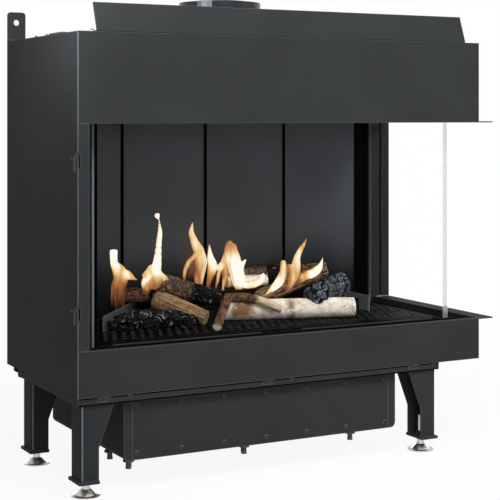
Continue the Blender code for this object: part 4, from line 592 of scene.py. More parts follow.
def glass_texture():
    """Wipe marks: long soft streaks that dull the gloss a little."""
    group, ins, outs = effect("wipe marks", {"Clean": 0.0, "Marks": 0.12}, ("Roughness",))
    place = wire(group, "ShaderNodeTexCoord").outputs["Object"]
    leaning = wire(group, "ShaderNodeMapping", {"Vector": place, "Rotation": (0.3, 0.4, 0.2), "Scale": (3.0, 3.0, 9.0)}).outputs[0]
    streak = wire(group, "ShaderNodeTexNoise", {"Vector": leaning, "Scale": 1.6, "Detail": 5.0, "Distortion": 0.7}).outputs["Fac"]
    mask = wire(group, "ShaderNodeMapRange", {"Value": streak, "From Min": 0.66, "From Max": 0.82}).outputs[0]
    group.links.new(wire(group, "ShaderNodeMath", {0: mask, 1: ins["Marks"], 2: ins["Clean"]}, operation="MULTIPLY_ADD").outputs[0], outs["Roughness"])
    return group


glass = finish_of("ceramic pane", glass_texture(), {}, IOR=1.01, Transmission_Weight=1.0, Coat_Weight=0.02)
glass.node_tree.nodes["Principled BSDF"].inputs["Base Color"].default_value = (1.0, 1.0, 1.0, 1.0)
rays = wire(glass.node_tree, "ShaderNodeLightPath").outputs
unseen = wire(glass.node_tree, "ShaderNodeMath", {0: rays["Is Shadow Ray"], 1: rays["Is Diffuse Ray"]}, operation="MAXIMUM").outputs[0]
see_through = wire(glass.node_tree, "ShaderNodeMapRange", {"Value": unseen, "To Min": 1.0, "To Max": 0.02}).outputs[0]
glass.node_tree.links.new(see_through, glass.node_tree.nodes["Principled BSDF"].inputs["Alpha"])
dress(glass, "front_glass", "side_glass")
dress(chrome, "corner_clip")

seal_pale = finish_of(
    "corner seal", POWDER_COAT, {"Paint": sheen(140, 141, 142), "Edge": sheen(90, 92, 94), "Edge Width": 0.0012, "Cloud": 0.03, "Gloss": 0.5},
    bump=0.0002, Specular_IOR_Level=0.1, Alpha=0.2,
)
side_low, side_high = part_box("side_glass")
clip_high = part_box("corner_clip")[1]
seal_low = Vector((pane_high.x - 0.0068, pane_low.y - 0.0006, clip_high.z + 0.0005))
seal_high = Vector((side_high.x, pane_low.y - 0.0001, pane_high.z - 0.001))
fitted(slab("corner_seal", seal_low, seal_high, seal_pale, 0.0002), "fireplace")

# Burner. A pressed pan and its slotted plate, both heat blackened steel, the plate set
# with rows of small pressed louvres where the gas comes out between the logs.

burner_black = finish_of(
    "heat blackened steel", METAL_GRAIN,
    {"Metal": sheen(4, 4, 5), "Tarnish": sheen(2, 2, 2), "Grain Length": 1.0, "Patch Scale": 30.0, "Polish": 0.5, "Smear": 0.2},
    bump=0.0003, Specular_IOR_Level=0.02,
)
guard_paint = finish_of(
    "guard paint", POWDER_COAT, {"Paint": sheen(64, 66, 69), "Edge": sheen(136, 140, 144), "Edge Width": 0.0018},
    bump=0.0003, Specular_IOR_Level=0.1,
)
dress(burner_black, "burner_pan", "burner_plate", "pilot_burner", "air_shutter")
dress(guard_paint, "log_guard_left")
# The right guard takes a lighter copy of the guard paint: painted light on a face the lamps leave dim.
guard_lit_copy = finish_of(
    "guard paint painted lighter", POWDER_COAT, {"Paint": sheen(112, 115, 119), "Edge": sheen(166, 170, 174), "Edge Width": 0.0018},
    bump=0.0003, Specular_IOR_Level=0.1,
)
dress(guard_lit_copy, "log_guard_right")
dress(soot, "log_shelf")


def louvre_tree():
    """Staggered rows of small pressed louvres over a rectangle."""
    tree = bpy.data.node_groups.new("burner louvres", "GeometryNodeTree")
    for label, kind in (
        ("Size X", "Float"), ("Size Y", "Float"), ("Count X", "Int"), ("Count Y", "Int"),
        ("Louvre Length", "Float"), ("Louvre Width", "Float"), ("Louvre Rise", "Float"), ("Centre", "Vector"), ("Finish", "Material"),
    ):
        tree.interface.new_socket(label, in_out="INPUT", socket_type="NodeSocket" + kind)
    tree.interface.new_socket("Geometry", in_out="OUTPUT", socket_type="NodeSocketGeometry")
    ins = tree.nodes.new("NodeGroupInput").outputs
    lattice = {"Size X": ins["Size X"], "Size Y": ins["Size Y"], "Vertices X": ins["Count X"], "Vertices Y": ins["Count Y"]}
    grid = wire(tree, "GeometryNodeMeshGrid", lattice).outputs["Mesh"]
    row = wire(tree, "ShaderNodeMath", {0: wire(tree, "GeometryNodeInputIndex").outputs[0], 1: ins["Count Y"]}, operation="MODULO").outputs[0]
    odd = wire(tree, "ShaderNodeMath", {0: row, 1: 2.0}, operation="MODULO").outputs[0]
    gaps = wire(tree, "ShaderNodeMath", {0: ins["Count X"], 1: 1.0}, operation="SUBTRACT").outputs[0]
    pitch = wire(tree, "ShaderNodeMath", {0: ins["Size X"], 1: gaps}, operation="DIVIDE").outputs[0]
    half = wire(tree, "ShaderNodeMath", {0: pitch, 1: 0.5}, operation="MULTIPLY").outputs[0]
    shift = wire(tree, "ShaderNodeMath", {0: odd, 1: half}, operation="MULTIPLY").outputs[0]
    offset = wire(tree, "ShaderNodeCombineXYZ", {"X": shift}).outputs[0]
    offset = wire(tree, "ShaderNodeVectorMath", {0: offset, 1: ins["Centre"]}, operation="ADD").outputs[0]
    grid = wire(tree, "GeometryNodeSetPosition", {"Geometry": grid, "Offset": offset}).outputs[0]
    bead = wire(tree, "GeometryNodeMeshUVSphere", {"Segments": 8, "Rings": 4, "Radius": 1.0}).outputs[0]
    form = wire(tree, "ShaderNodeCombineXYZ", {"X": ins["Louvre Length"], "Y": ins["Louvre Width"], "Z": ins["Louvre Rise"]}).outputs[0]
    bead = wire(tree, "GeometryNodeTransform", {"Geometry": bead, "Scale": form}).outputs[0]
    spread = wire(tree, "GeometryNodeInstanceOnPoints", {"Points": grid, "Instance": bead}).outputs[0]
    whole = wire(tree, "GeometryNodeRealizeInstances", {"Geometry": spread}).outputs[0]
    whole = wire(tree, "GeometryNodeSetMaterial", {"Geometry": whole, "Material": ins["Finish"]}).outputs[0]
    tree.links.new(whole, tree.nodes.new("NodeGroupOutput").inputs[0])
    return tree


louvre_steel = finish_of(
    "louvre edge steel", METAL_GRAIN,
    {"Metal": sheen(58, 59, 62), "Tarnish": sheen(34, 34, 36), "Grain Length": 1.0, "Patch Scale": 60.0, "Polish": 0.42, "Smear": 0.2},
    bump=0.0002, Specular_IOR_Level=0.1,
)
plate_low, plate_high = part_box("burner_plate")
louvres = {
    "Size X": plate_high.x - plate_low.x - 0.044, "Size Y": 0.261, "Count X": 39, "Count Y": 10,
    "Louvre Length": 0.0055, "Louvre Width": 0.0036, "Louvre Rise": 0.0010,
    "Centre": ((plate_low.x + plate_high.x) / 2 - 0.0057, plate_low.y + 0.18, plate_high.z), "Finish": louvre_steel,
}
fitted(grown("burner_louvres", bpy.data.meshes.new("louvre_start"), louvre_tree(), louvres), "fireplace")

# Logs. Eleven cast ceramic fibre pieces lie on the burner plate, its shelf and guards
# and on each other. Each is grown along a line, with its own bark, cracks and ends.

LOG_RISE = 0.120
LOG_RADIUS = 0.025


def on_burner(across, deep, high):
    """A point over the burner plate from its shares of the plate's size and the logs' height."""
    x = plate_low.x + (plate_high.x - plate_low.x) * across
    y = plate_low.y + (plate_high.y - plate_low.y) * deep
    return Vector((x, y, plate_high.z + LOG_RISE * high))


def smooth_line(rows, count):
    """This many even rows of numbers on a smooth line through the given rows."""
    spans = len(rows) - 1
    found = []
    for i in range(count):
        place = i / (count - 1) * spans
        k = min(int(place), spans - 1)
        t = place - k
        corners = [rows[min(max(k + n, 0), spans)] for n in (-1, 0, 1, 2)]
        if k == 0:
            corners[0] = [2 * b - c for b, c in zip(rows[0], rows[1])]
        if k == spans - 1:
            corners[3] = [2 * c - b for b, c in zip(rows[-2], rows[-1])]
        row = []
        for a, b, c, d in zip(*corners):
            row.append(b + t * (c - a) / 2 + t * t * (2 * a - 5 * b + 4 * c - d) / 2 + t ** 3 * (3 * b - a - 3 * c + d) / 2)
        found.append(row)
    return found


def stations(path, count):
    """Even stations (centre, radius, share of the length) on a smooth line through the path's points."""
    line = smooth_line([(*on_burner(*point[:3]), LOG_RADIUS * point[3]) for point in path], count)
    return [(Vector(row[:3]), row[3], i / (count - 1)) for i, row in enumerate(line)]


def grow(name, path, sides, count, ends, bark, finish):
    """A closed log mesh: rings along the path, ends cut square or rounded, bark(point, angle, share, cut)
    gives how far the surface stands off its round section and its tone from 0, deep, to 1, high."""
    line = stations(path, count)
    start_way = (line[1][0] - line[0][0]).normalized()
    end_way = (line[-1][0] - line[-2][0]).normalized()
    rings = []
    for end, way, (centre, radius, share) in ((0, -start_way, line[0]), (1, end_way, line[-1])):
        cap = []
        if ends[end] == "cut":
            for reach, size in ((0.22, 1.0), (0.28, 0.94), (0.28, 0.72), (0.28, 0.45), (0.28, 0.2)):
                cap.append((centre + way * radius * reach, radius * size, share, float(size < 1)))
        else:
            for k in range(1, 7):
                turn = math.radians(90 * k / 7)
                cap.append((centre + way * radius * 0.5 * math.sin(turn), radius * math.cos(turn), share, 0.0))
        rings.append(cap)
    run = rings[0][::-1] + [(centre, radius, share, 0.0) for centre, radius, share in line] + rings[1]
    ways = [(run[min(i + 1, len(run) - 1)][0] - run[max(i - 1, 0)][0]) for i in range(len(run))]
    points, tones, alongs, cuts = [], [], [], []
    for (centre, radius, share, cut), way in zip(run, ways):
        way = way if way.length > 1e-7 else end_way
        side = way.cross(Vector((0, 0, 1))).normalized()
        up = side.cross(way).normalized()
        for k in range(sides):
            angle = 2 * math.pi * k / sides
            out = side * math.cos(angle) + up * math.sin(angle)
            stand, tone = bark(centre + out * radius, angle, share, cut)
            points.append(centre + out * (radius + stand * (1 - 0.75 * cut)))
            tones.append(tone)
            alongs.append(share)
            cuts.append(cut)
    faces = []
    for i in range(len(run) - 1):
        for k in range(sides):
            n = (k + 1) % sides
            faces.append((i * sides + k, i * sides + n, (i + 1) * sides + n, (i + 1) * sides + k))
    for i, order in ((0, -1), (len(run) - 1, 1)):
        rim = [i * sides + k for k in range(sides)]
        points.append(sum((points[r] for r in rim), Vector()) / sides)
        tones.append(tones[rim[0]])
        alongs.append(alongs[rim[0]])
        cuts.append(cuts[rim[0]])
        for k in range(sides):
            face = (rim[k], rim[(k + 1) % sides], len(points) - 1)
            faces.append(face[::order])
    mesh = bpy.data.meshes.new(name)
    mesh.from_pydata([tuple(p) for p in points], [], faces)
    for label, values in (("tone", tones), ("along", alongs), ("cut", cuts)):
        mesh.attributes.new(label, "FLOAT", "POINT").data.foreach_set("value", values)
    tidy = bmesh.new()
    tidy.from_mesh(mesh)
    bmesh.ops.recalc_face_normals(tidy, faces=tidy.faces[:])
    tidy.to_mesh(mesh)
    tidy.free()
    mesh.shade_smooth()
    mesh.materials.append(finish)
    return placed(name, mesh)


def crackle(point, size, seed):
    """How far a point is from the nearest crack in a block pattern, from 0 in a crack to about 1."""
    spread, cells = noise.voronoi(point / size + Vector((seed, seed, seed)))
    return min((spread[1] - spread[0]) * 1.6, 1.0)


def rough(point, size, seed, octaves=4):
    """Fractal roughness of about -1 to 1."""
    return noise.fractal(point / size + Vector((seed, -seed, seed)), 0.8, 2.1, octaves)


# Charred logs. Burnt down to deep square cracks between blocks of char, black in the
# cracks, blue grey on the crowns, with pale rims on the sharpest edges that are partly white
# ash and partly a painted highlight.


def char_texture():
    """Char: black cracks, grey crowns, and pale block rims, partly ash and partly painted highlight."""
    takes = {"Crack": sheen(7, 7, 8), "Char": sheen(18, 19, 21), "Crown": sheen(70, 76, 84), "Ash": sheen(200, 206, 214), "Ash Amount": 1.0, "Crown Start": 0.58}
    group, ins, outs = effect("char", takes, ("Colour", "Roughness", "Height"))
    place = wire(group, "ShaderNodeTexCoord").outputs["Object"]
    tone = wire(group, "ShaderNodeAttribute", attribute_name="tone").outputs["Fac"]
    fine = wire(group, "ShaderNodeTexNoise", {"Vector": place, "Scale": 230.0, "Detail": 4.0, "Roughness": 0.65}).outputs["Fac"]
    broad = wire(group, "ShaderNodeTexNoise", {"Vector": place, "Scale": 70.0, "Detail": 3.0}).outputs["Fac"]
    lift = wire(group, "ShaderNodeMath", {0: fine, 1: 0.3, 2: -0.15}, operation="MULTIPLY_ADD").outputs[0]
    height = wire(group, "ShaderNodeMath", {0: tone, 1: lift}, operation="ADD", use_clamp=True).outputs[0]
    black = wire(group, "ShaderNodeMapRange", {"Value": height, "From Min": 0.26, "From Max": 0.5}).outputs[0]
    crown = wire(group, "ShaderNodeMapRange", {"Value": fine, "From Min": ins["Crown Start"], "From Max": 0.72}).outputs[0]
    base = blend_colours(group, crown, ins["Char"], ins["Crown"])
    base = blend_colours(group, black, ins["Crack"], base)
    # The pale rim along each block's edge is partly ash and partly a painted highlight on the sharp edges.
    inner = wire(group, "ShaderNodeMapRange", {"Value": height, "From Min": 0.34, "From Max": 0.42}).outputs[0]
    outer = wire(group, "ShaderNodeMapRange", {"Value": height, "From Min": 0.52, "From Max": 0.44}).outputs[0]
    rim = wire(group, "ShaderNodeMath", {0: inner, 1: outer}, operation="MULTIPLY").outputs[0]
    lit = wire(group, "ShaderNodeMapRange", {"Value": broad, "From Min": 0.5, "From Max": 0.6}).outputs[0]
    ash = wire(group, "ShaderNodeMath", {0: rim, 1: lit}, operation="MULTIPLY").outputs[0]
    ash = wire(group, "ShaderNodeMath", {0: ash, 1: ins["Ash Amount"]}, operation="MULTIPLY", use_clamp=True).outputs[0]
    group.links.new(blend_colours(group, ash, base, ins["Ash"]), outs["Colour"])
    group.links.new(wire(group, "ShaderNodeMapRange", {"Value": height, "To Min": 0.9, "To Max": 0.45}).outputs[0], outs["Roughness"])
    group.links.new(wire(group, "ShaderNodeMath", {0: fine, 1: height}, operation="ADD").outputs[0], outs["Height"])
    return group


CHAR = char_texture()
char_front = finish_of("char with ash and painted highlight", CHAR, {"Ash": sheen(160, 166, 174), "Ash Amount": 0.85}, bump=0.0009, Specular_IOR_Level=0.07)
char_right = finish_of(
    "grey char", CHAR, {"Char": sheen(40, 44, 48), "Crown": sheen(124, 132, 142), "Crown Start": 0.47, "Ash": sheen(184, 190, 198), "Ash Amount": 0.8}, bump=0.0012, Specular_IOR_Level=0.14
)


def charred(blocks, depth, seed):
    """Bark of char blocks of this size, standing up to this depth off the crack bottoms."""

    def bark(point, angle, share, cut):
        bent = Vector((rough(point, blocks, seed, 2), rough(point, blocks, seed + 1, 2), rough(point, blocks, seed + 2, 2)))
        spot = point / blocks + bent * 0.35 + Vector((seed, seed, seed))
        spread, cells = noise.voronoi(spot)
        edge = min((spread[1] - spread[0]) * 1.7, 1.0)
        plate = 0.45 * noise.cell(cells[0] * 9.7) + 0.9 * (spot - cells[0]).dot(noise.cell_vector(cells[0] * 5.3))
        step = min(edge * 3.2, 1.0)
        shard = crackle(point, blocks * 0.36, seed + 3)
        fine = rough(point, blocks * 0.25, seed + 7)
        tone = min(max(0.08 + 0.84 * edge + 0.06 * shard * step + 0.06 * fine, 0), 1)
        return depth * ((0.8 + plate) * step * (2 - step) + 0.08 * shard + 0.08 * fine - 0.8), tone

    return bark


CHARRED_FRONT = ((0.11, 0.52, 0.09, 0.44), (0.155, 0.51, 0.17, 0.84), (0.245, 0.475, 0.18, 0.88), (0.34, 0.435, 0.1, 0.5))
CHARRED_RIGHT = ((0.684, 0.38, 0.425, 1.08), (0.746, 0.455, 0.52, 1.24), (0.808, 0.54, 0.61, 1.12))
for name, path, blocks, depth, finish, seed in (
    ("log_charred_front", CHARRED_FRONT, 0.026, 0.0085, char_front, 3.1),
    ("log_charred_right", CHARRED_RIGHT, 0.02, 0.0065, char_right, 8.4),
):
    piece = grow(name + "_burnt", path, 96, 150, ("round", "round"), charred(blocks, depth, seed), finish)
    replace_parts(fitted(piece, "fireplace"), name)

# Birch logs. Smooth cream bark split by fine white cracks, freckled near the ends, with
# brown patches where the bark has peeled.


def birch_texture():
    """Birch bark: cream with brown patches, pale cracks that run with the log, and freckles."""
    takes = {"Bark": sheen(246, 237, 222), "Shade": sheen(208, 188, 162), "Patch": sheen(134, 98, 68), "Crack": sheen(252, 252, 250), "Freckle": sheen(92, 84, 78), "Cut Face": sheen(226, 212, 192)}
    group, ins, outs = effect("birch", takes, ("Colour", "Roughness", "Height"))
    place = wire(group, "ShaderNodeTexCoord").outputs["Object"]
    along = wire(group, "ShaderNodeAttribute", attribute_name="along").outputs["Fac"]
    cut = wire(group, "ShaderNodeAttribute", attribute_name="cut").outputs["Fac"]
    cloud = wire(group, "ShaderNodeTexNoise", {"Vector": place, "Scale": 38.0, "Detail": 4.0, "Roughness": 0.6}).outputs["Fac"]
    base = blend_colours(group, wire(group, "ShaderNodeMapRange", {"Value": cloud, "From Min": 0.4, "From Max": 0.68}).outputs[0], ins["Bark"], ins["Shade"])
    bands = ramp(group, along, (0.0, (0.5,) * 3 + (1,)), (0.06, (0.72,) * 3 + (1,)), (0.2, (0.7,) * 3 + (1,)), (0.27, (0.3,) * 3 + (1,)), (0.42, (0.34,) * 3 + (1,)), (0.5, (0.68,) * 3 + (1,)), (0.58, (0.28,) * 3 + (1,)), (1.0, (0.2,) * 3 + (1,)))
    wide = wire(group, "ShaderNodeTexNoise", {"Vector": place, "Scale": 17.0, "Detail": 3.0}).outputs["Fac"]
    ragged = wire(group, "ShaderNodeMath", {0: wire(group, "ShaderNodeRGBToBW", {0: bands}).outputs[0], 1: wide}, operation="ADD").outputs[0]
    patch = wire(group, "ShaderNodeMapRange", {"Value": ragged, "From Min": 1.05, "From Max": 1.26}).outputs[0]
    base = blend_colours(group, patch, base, ins["Patch"])
    drawn = wire(group, "ShaderNodeMapping", {"Vector": place, "Rotation": (0.0, 0.3, 0.3), "Scale": (16.0, 60.0, 50.0)}).outputs[0]
    wave = wire(group, "ShaderNodeTexNoise", {"Vector": drawn, "Scale": 1.0, "Detail": 4.0, "Roughness": 0.6}).outputs["Fac"]
    wave = wire(group, "ShaderNodeMath", {0: wave, 1: 0.5}, operation="SUBTRACT").outputs[0]
    line = wire(group, "ShaderNodeMath", {0: wave}, operation="ABSOLUTE").outputs[0]
    torn = wire(group, "ShaderNodeTexNoise", {"Vector": place, "Scale": 30.0, "Detail": 2.0}).outputs["Fac"]
    crack = wire(group, "ShaderNodeMapRange", {"Value": line, "From Min": 0.024, "From Max": 0.006}).outputs[0]
    there = wire(group, "ShaderNodeMapRange", {"Value": torn, "From Min": 0.47, "From Max": 0.55}).outputs[0]
    crack = wire(group, "ShaderNodeMath", {0: crack, 1: there}, operation="MULTIPLY").outputs[0]
    base = blend_colours(group, crack, base, ins["Crack"])
    spot = wire(group, "ShaderNodeTexNoise", {"Vector": place, "Scale": 330.0, "Detail": 2.0}).outputs["Fac"]
    ends = ramp(group, along, (0.0, (1, 1, 1, 1)), (0.12, (0.35, 0.35, 0.35, 1)), (0.5, (0.5, 0.5, 0.5, 1)), (0.86, (0.3, 0.3, 0.3, 1)), (1.0, (1, 1, 1, 1)))
    limit = wire(group, "ShaderNodeMapRange", {"Value": wire(group, "ShaderNodeRGBToBW", {0: ends}).outputs[0], "To Min": 0.76, "To Max": 0.56}).outputs[0]
    past = wire(group, "ShaderNodeMath", {0: spot, 1: limit}, operation="SUBTRACT").outputs[0]
    freckle = wire(group, "ShaderNodeMapRange", {"Value": past, "From Min": 0.0, "From Max": 0.05}).outputs[0]
    base = blend_colours(group, freckle, base, ins["Freckle"])
    group.links.new(blend_colours(group, cut, base, ins["Cut Face"]), outs["Colour"])
    group.links.new(wire(group, "ShaderNodeMapRange", {"Value": cloud, "To Min": 0.7, "To Max": 0.9}).outputs[0], outs["Roughness"])
    relief = wire(group, "ShaderNodeMath", {0: crack, 1: -0.6, 2: spot}, operation="MULTIPLY_ADD").outputs[0]
    group.links.new(relief, outs["Height"])
    return group


BIRCH = birch_texture()
birch = finish_of("birch ceramic", BIRCH, {}, bump=0.0005, Specular_IOR_Level=0.1)


def peeling(seed):
    """Smooth bark with low swellings and thin peeled flakes."""

    def bark(point, angle, share, cut):
        swell = rough(point, 0.05, seed, 2)
        flake = max(rough(point, 0.012, seed + 4, 3), 0)
        return 0.0012 * swell + 0.0009 * flake - 0.0012, 0.5 + 0.4 * swell

    return bark


BIRCH_FRONT = ((0.45, 0.585, 0.215, 1.04), (0.79, 0.31, 0.205, 1.02))
BIRCH_REAR = ((0.51, 0.865, 0.69, 0.64), (0.62, 0.83, 0.69, 0.64))
for name, path, seed in (("log_birch_front", BIRCH_FRONT, 2.2), ("log_birch_rear", BIRCH_REAR, 6.6)):
    piece = grow(name + "_bark", path, 72, 150, ("cut", "cut"), peeling(seed), birch)
    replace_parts(fitted(piece, "fireplace"), name)

# Brown logs. Furrowed bark, one piece split so that its pale wood shows in long fibres,
# and one burnt black at its right end.


def bark_texture():
    """Furrowed bark or split wood: pale ridges, dark furrows, and char towards one end."""
    takes = {"Ridge": sheen(132, 104, 76), "Furrow": sheen(52, 38, 28), "Char": sheen(16, 15, 16), "Ash": sheen(170, 174, 180), "Cut Face": sheen(176, 152, 122), "Char Start": 2.0, "Grain": 90.0}
    group, ins, outs = effect("bark", takes, ("Colour", "Roughness", "Height"))
    place = wire(group, "ShaderNodeTexCoord").outputs["Object"]
    tone = wire(group, "ShaderNodeAttribute", attribute_name="tone").outputs["Fac"]
    along = wire(group, "ShaderNodeAttribute", attribute_name="along").outputs["Fac"]
    cut = wire(group, "ShaderNodeAttribute", attribute_name="cut").outputs["Fac"]
    fine = wire(group, "ShaderNodeTexNoise", {"Vector": place, "Scale": ins["Grain"], "Detail": 5.0, "Roughness": 0.7}).outputs["Fac"]
    dots = wire(group, "ShaderNodeTexNoise", {"Vector": place, "Scale": 420.0, "Detail": 2.0}).outputs["Fac"]
    mixed = wire(group, "ShaderNodeMath", {0: fine, 1: 0.9, 2: -0.45}, operation="MULTIPLY_ADD").outputs[0]
    level = wire(group, "ShaderNodeMath", {0: tone, 1: mixed}, operation="ADD", use_clamp=True).outputs[0]
    speck = wire(group, "ShaderNodeMath", {0: dots, 1: 0.5, 2: level}, operation="MULTIPLY_ADD").outputs[0]
    share = wire(group, "ShaderNodeMapRange", {"Value": speck, "From Min": 0.42, "From Max": 0.98}).outputs[0]
    base = blend_colours(group, share, ins["Furrow"], ins["Ridge"])
    base = blend_colours(group, cut, base, ins["Cut Face"])
    wavy = wire(group, "ShaderNodeMath", {0: fine, 1: 0.25, 2: along}, operation="MULTIPLY_ADD").outputs[0]
    burnt = wire(group, "ShaderNodeMath", {0: wavy, 1: ins["Char Start"]}, operation="SUBTRACT").outputs[0]
    burnt = wire(group, "ShaderNodeMapRange", {"Value": burnt, "From Min": 0.1, "From Max": 0.18}).outputs[0]
    flake = wire(group, "ShaderNodeTexNoise", {"Vector": place, "Scale": 130.0, "Detail": 4.0, "Roughness": 0.7}).outputs["Fac"]
    flake = wire(group, "ShaderNodeMath", {0: flake, 1: level}, operation="MULTIPLY").outputs[0]
    ash = wire(group, "ShaderNodeMapRange", {"Value": flake, "From Min": 0.33, "From Max": 0.46}).outputs[0]
    charcoal = blend_colours(group, ash, ins["Char"], ins["Ash"])
    group.links.new(blend_colours(group, burnt, base, charcoal), outs["Colour"])
    group.links.new(wire(group, "ShaderNodeMapRange", {"Value": level, "To Min": 0.92, "To Max": 0.66}).outputs[0], outs["Roughness"])
    group.links.new(wire(group, "ShaderNodeMath", {0: fine, 1: level}, operation="ADD").outputs[0], outs["Height"])
    return group


BARK = bark_texture()
brown_bark = finish_of("brown bark", BARK, {}, bump=0.0016, Specular_IOR_Level=0.1)
half_burnt = finish_of(
    "bark burnt at one end", BARK, {"Char Start": 0.54, "Ridge": sheen(132, 102, 74), "Furrow": sheen(58, 57, 58), "Ash": sheen(112, 115, 120)}, bump=0.0016, Specular_IOR_Level=0.07
)
dark_bark = finish_of(
    "dark bark", BARK, {"Char Start": 0.7, "Ridge": sheen(112, 82, 60), "Furrow": sheen(52, 37, 28)}, bump=0.001, Specular_IOR_Level=0.08
)
split_wood = finish_of(
    "split wood", BARK, {"Ridge": sheen(170, 138, 102), "Furrow": sheen(106, 80, 56), "Grain": 45.0}, bump=0.0008, Specular_IOR_Level=0.1
)


def furrowed(ridges, depth, stretch, seed):
    """Bark with this many ridges round it, drawn out along the log."""

    def bark(point, angle, share, cut):
        ring = Vector((math.cos(angle), math.sin(angle), 0)) * ridges / 4
        ridge = noise.fractal(ring + Vector((seed, seed, share * stretch)), 0.7, 2.0, 3)
        fine = rough(point, 0.006, seed, 3)
        tone = min(max(0.5 + 0.7 * ridge + 0.25 * fine, 0), 1)
        return depth * (0.8 * ridge + 0.3 * fine - 0.5), tone

    return bark


def scaly(scales, depth, seed):
    """Bark in raised scales of this size with grey gaps between them."""

    def bark(point, angle, share, cut):
        bent = Vector((rough(point, scales, seed, 3), rough(point, scales, seed + 1, 3), rough(point, scales, seed + 2, 3)))
        scale = crackle(point + bent * scales * 0.5, scales, seed)
        lump = rough(point, scales * 1.8, seed, 2)
        fine = rough(point, scales * 0.3, seed + 5)
        tone = min(max(0.12 + 0.8 * scale + 0.2 * fine, 0), 1)
        return depth * (0.5 * min(scale * 2, 1.0) + 0.7 * lump + 0.15 * fine - 0.6), tone

    return bark


def splintered(ridges, depth, seed):
    """Long fine fibres that end in splinters."""
    fibres = furrowed(ridges, depth, 2, seed)

    def bark(point, angle, share, cut):
        stand, tone = fibres(point, angle, share, cut)
        ring = Vector((math.cos(angle), math.sin(angle), seed)) * 2.4
        torn = max(noise.noise(ring), 0) * max(share - 0.84, 0) / 0.16
        return stand - 0.012 * torn, tone * (1 - 0.5 * torn)

    return bark


DARK_LEFT = ((0.215, 0.925, 0.53, 0.72), (0.29, 0.845, 0.53, 0.72))
SPLIT = ((0.277, 0.74, 0.45, 1.06), (0.32, 0.61, 0.3, 0.96), (0.368, 0.465, 0.15, 0.74))
REAR_LEFT = ((0.28, 0.765, 0.81, 1.0), (0.43, 0.6, 0.46, 0.88))
BROWN_RIGHT = ((0.565, 0.605, 0.425, 0.8), (0.775, 0.67, 0.865, 0.8))
REAR_MID = ((0.58, 0.93, 0.8, 0.76), (0.68, 0.91, 0.83, 0.76))
STICK_REAR = ((0.735, 0.76, 0.925, 0.44), (0.8, 0.76, 0.94, 0.42))
for name, path, ends, bark, finish in (
    ("log_dark_left", DARK_LEFT, ("round", "round"), furrowed(11, 0.0012, 4, 5.2), dark_bark),
    ("log_split", SPLIT, ("round", "cut"), splintered(34, 0.0011, 1.4), split_wood),
    ("log_rear_left", REAR_LEFT, ("round", "round"), scaly(0.013, 0.005, 4.7), half_burnt),
    ("log_brown_right", BROWN_RIGHT, ("cut", "cut"), furrowed(12, 0.0024, 9, 7.9), brown_bark),
    ("log_rear_mid", REAR_MID, ("cut", "round"), scaly(0.013, 0.0034, 9.3), half_burnt),
    ("stick_rear", STICK_REAR, ("cut", "cut"), furrowed(8, 0.0014, 5, 3.8), brown_bark),
):
    piece = grow(name + "_wood", path, 80, 130, ends, bark, finish)
    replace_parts(fitted(piece, "fireplace"), name)

# Forked twig. A cut branch in front whose round white end faces the room, and a side
# branch that lies over the birch log, its last part stripped of bark.

TWIG_TRUNK = ((0.35, 0.15, 0.09, 0.44), (0.4, 0.31, 0.39, 0.46), (0.455, 0.555, 0.49, 0.48))
TWIG_BRANCH = ((0.452, 0.545, 0.48, 0.46), (0.49, 0.5, 0.485, 0.46), (0.53, 0.44, 0.42, 0.44), (0.58, 0.37, 0.25, 0.42))
twig_bark = finish_of(
    "twig bark", BARK, {"Ridge": sheen(108, 78, 56), "Furrow": sheen(40, 27, 20), "Cut Face": sheen(222, 210, 190)}, bump=0.001, Specular_IOR_Level=0.2
)
branch_bark = finish_of(
    "stripped branch", BARK,
    {"Ridge": sheen(112, 84, 62), "Furrow": sheen(50, 34, 25), "Char": sheen(206, 186, 160), "Ash": sheen(228, 176, 134), "Cut Face": sheen(220, 206, 184), "Char Start": 0.6},
    bump=0.001, Specular_IOR_Level=0.1,
)
trunk = grow("twig_trunk", TWIG_TRUNK, 48, 110, ("cut", "round"), furrowed(9, 0.0012, 8, 2.9), twig_bark)
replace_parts(fitted(trunk, "fireplace"), "twig_forked")
branch = grow("twig_branch", TWIG_BRANCH, 48, 110, ("round", "cut"), furrowed(9, 0.0008, 8, 6.1), branch_bark)
fitted(branch, "fireplace")

# Flames. Each rises from the gas between the logs in flat tongues: white and yellow in
# the middle, orange at the edges, brown and thin at the foot, gone at the rim.


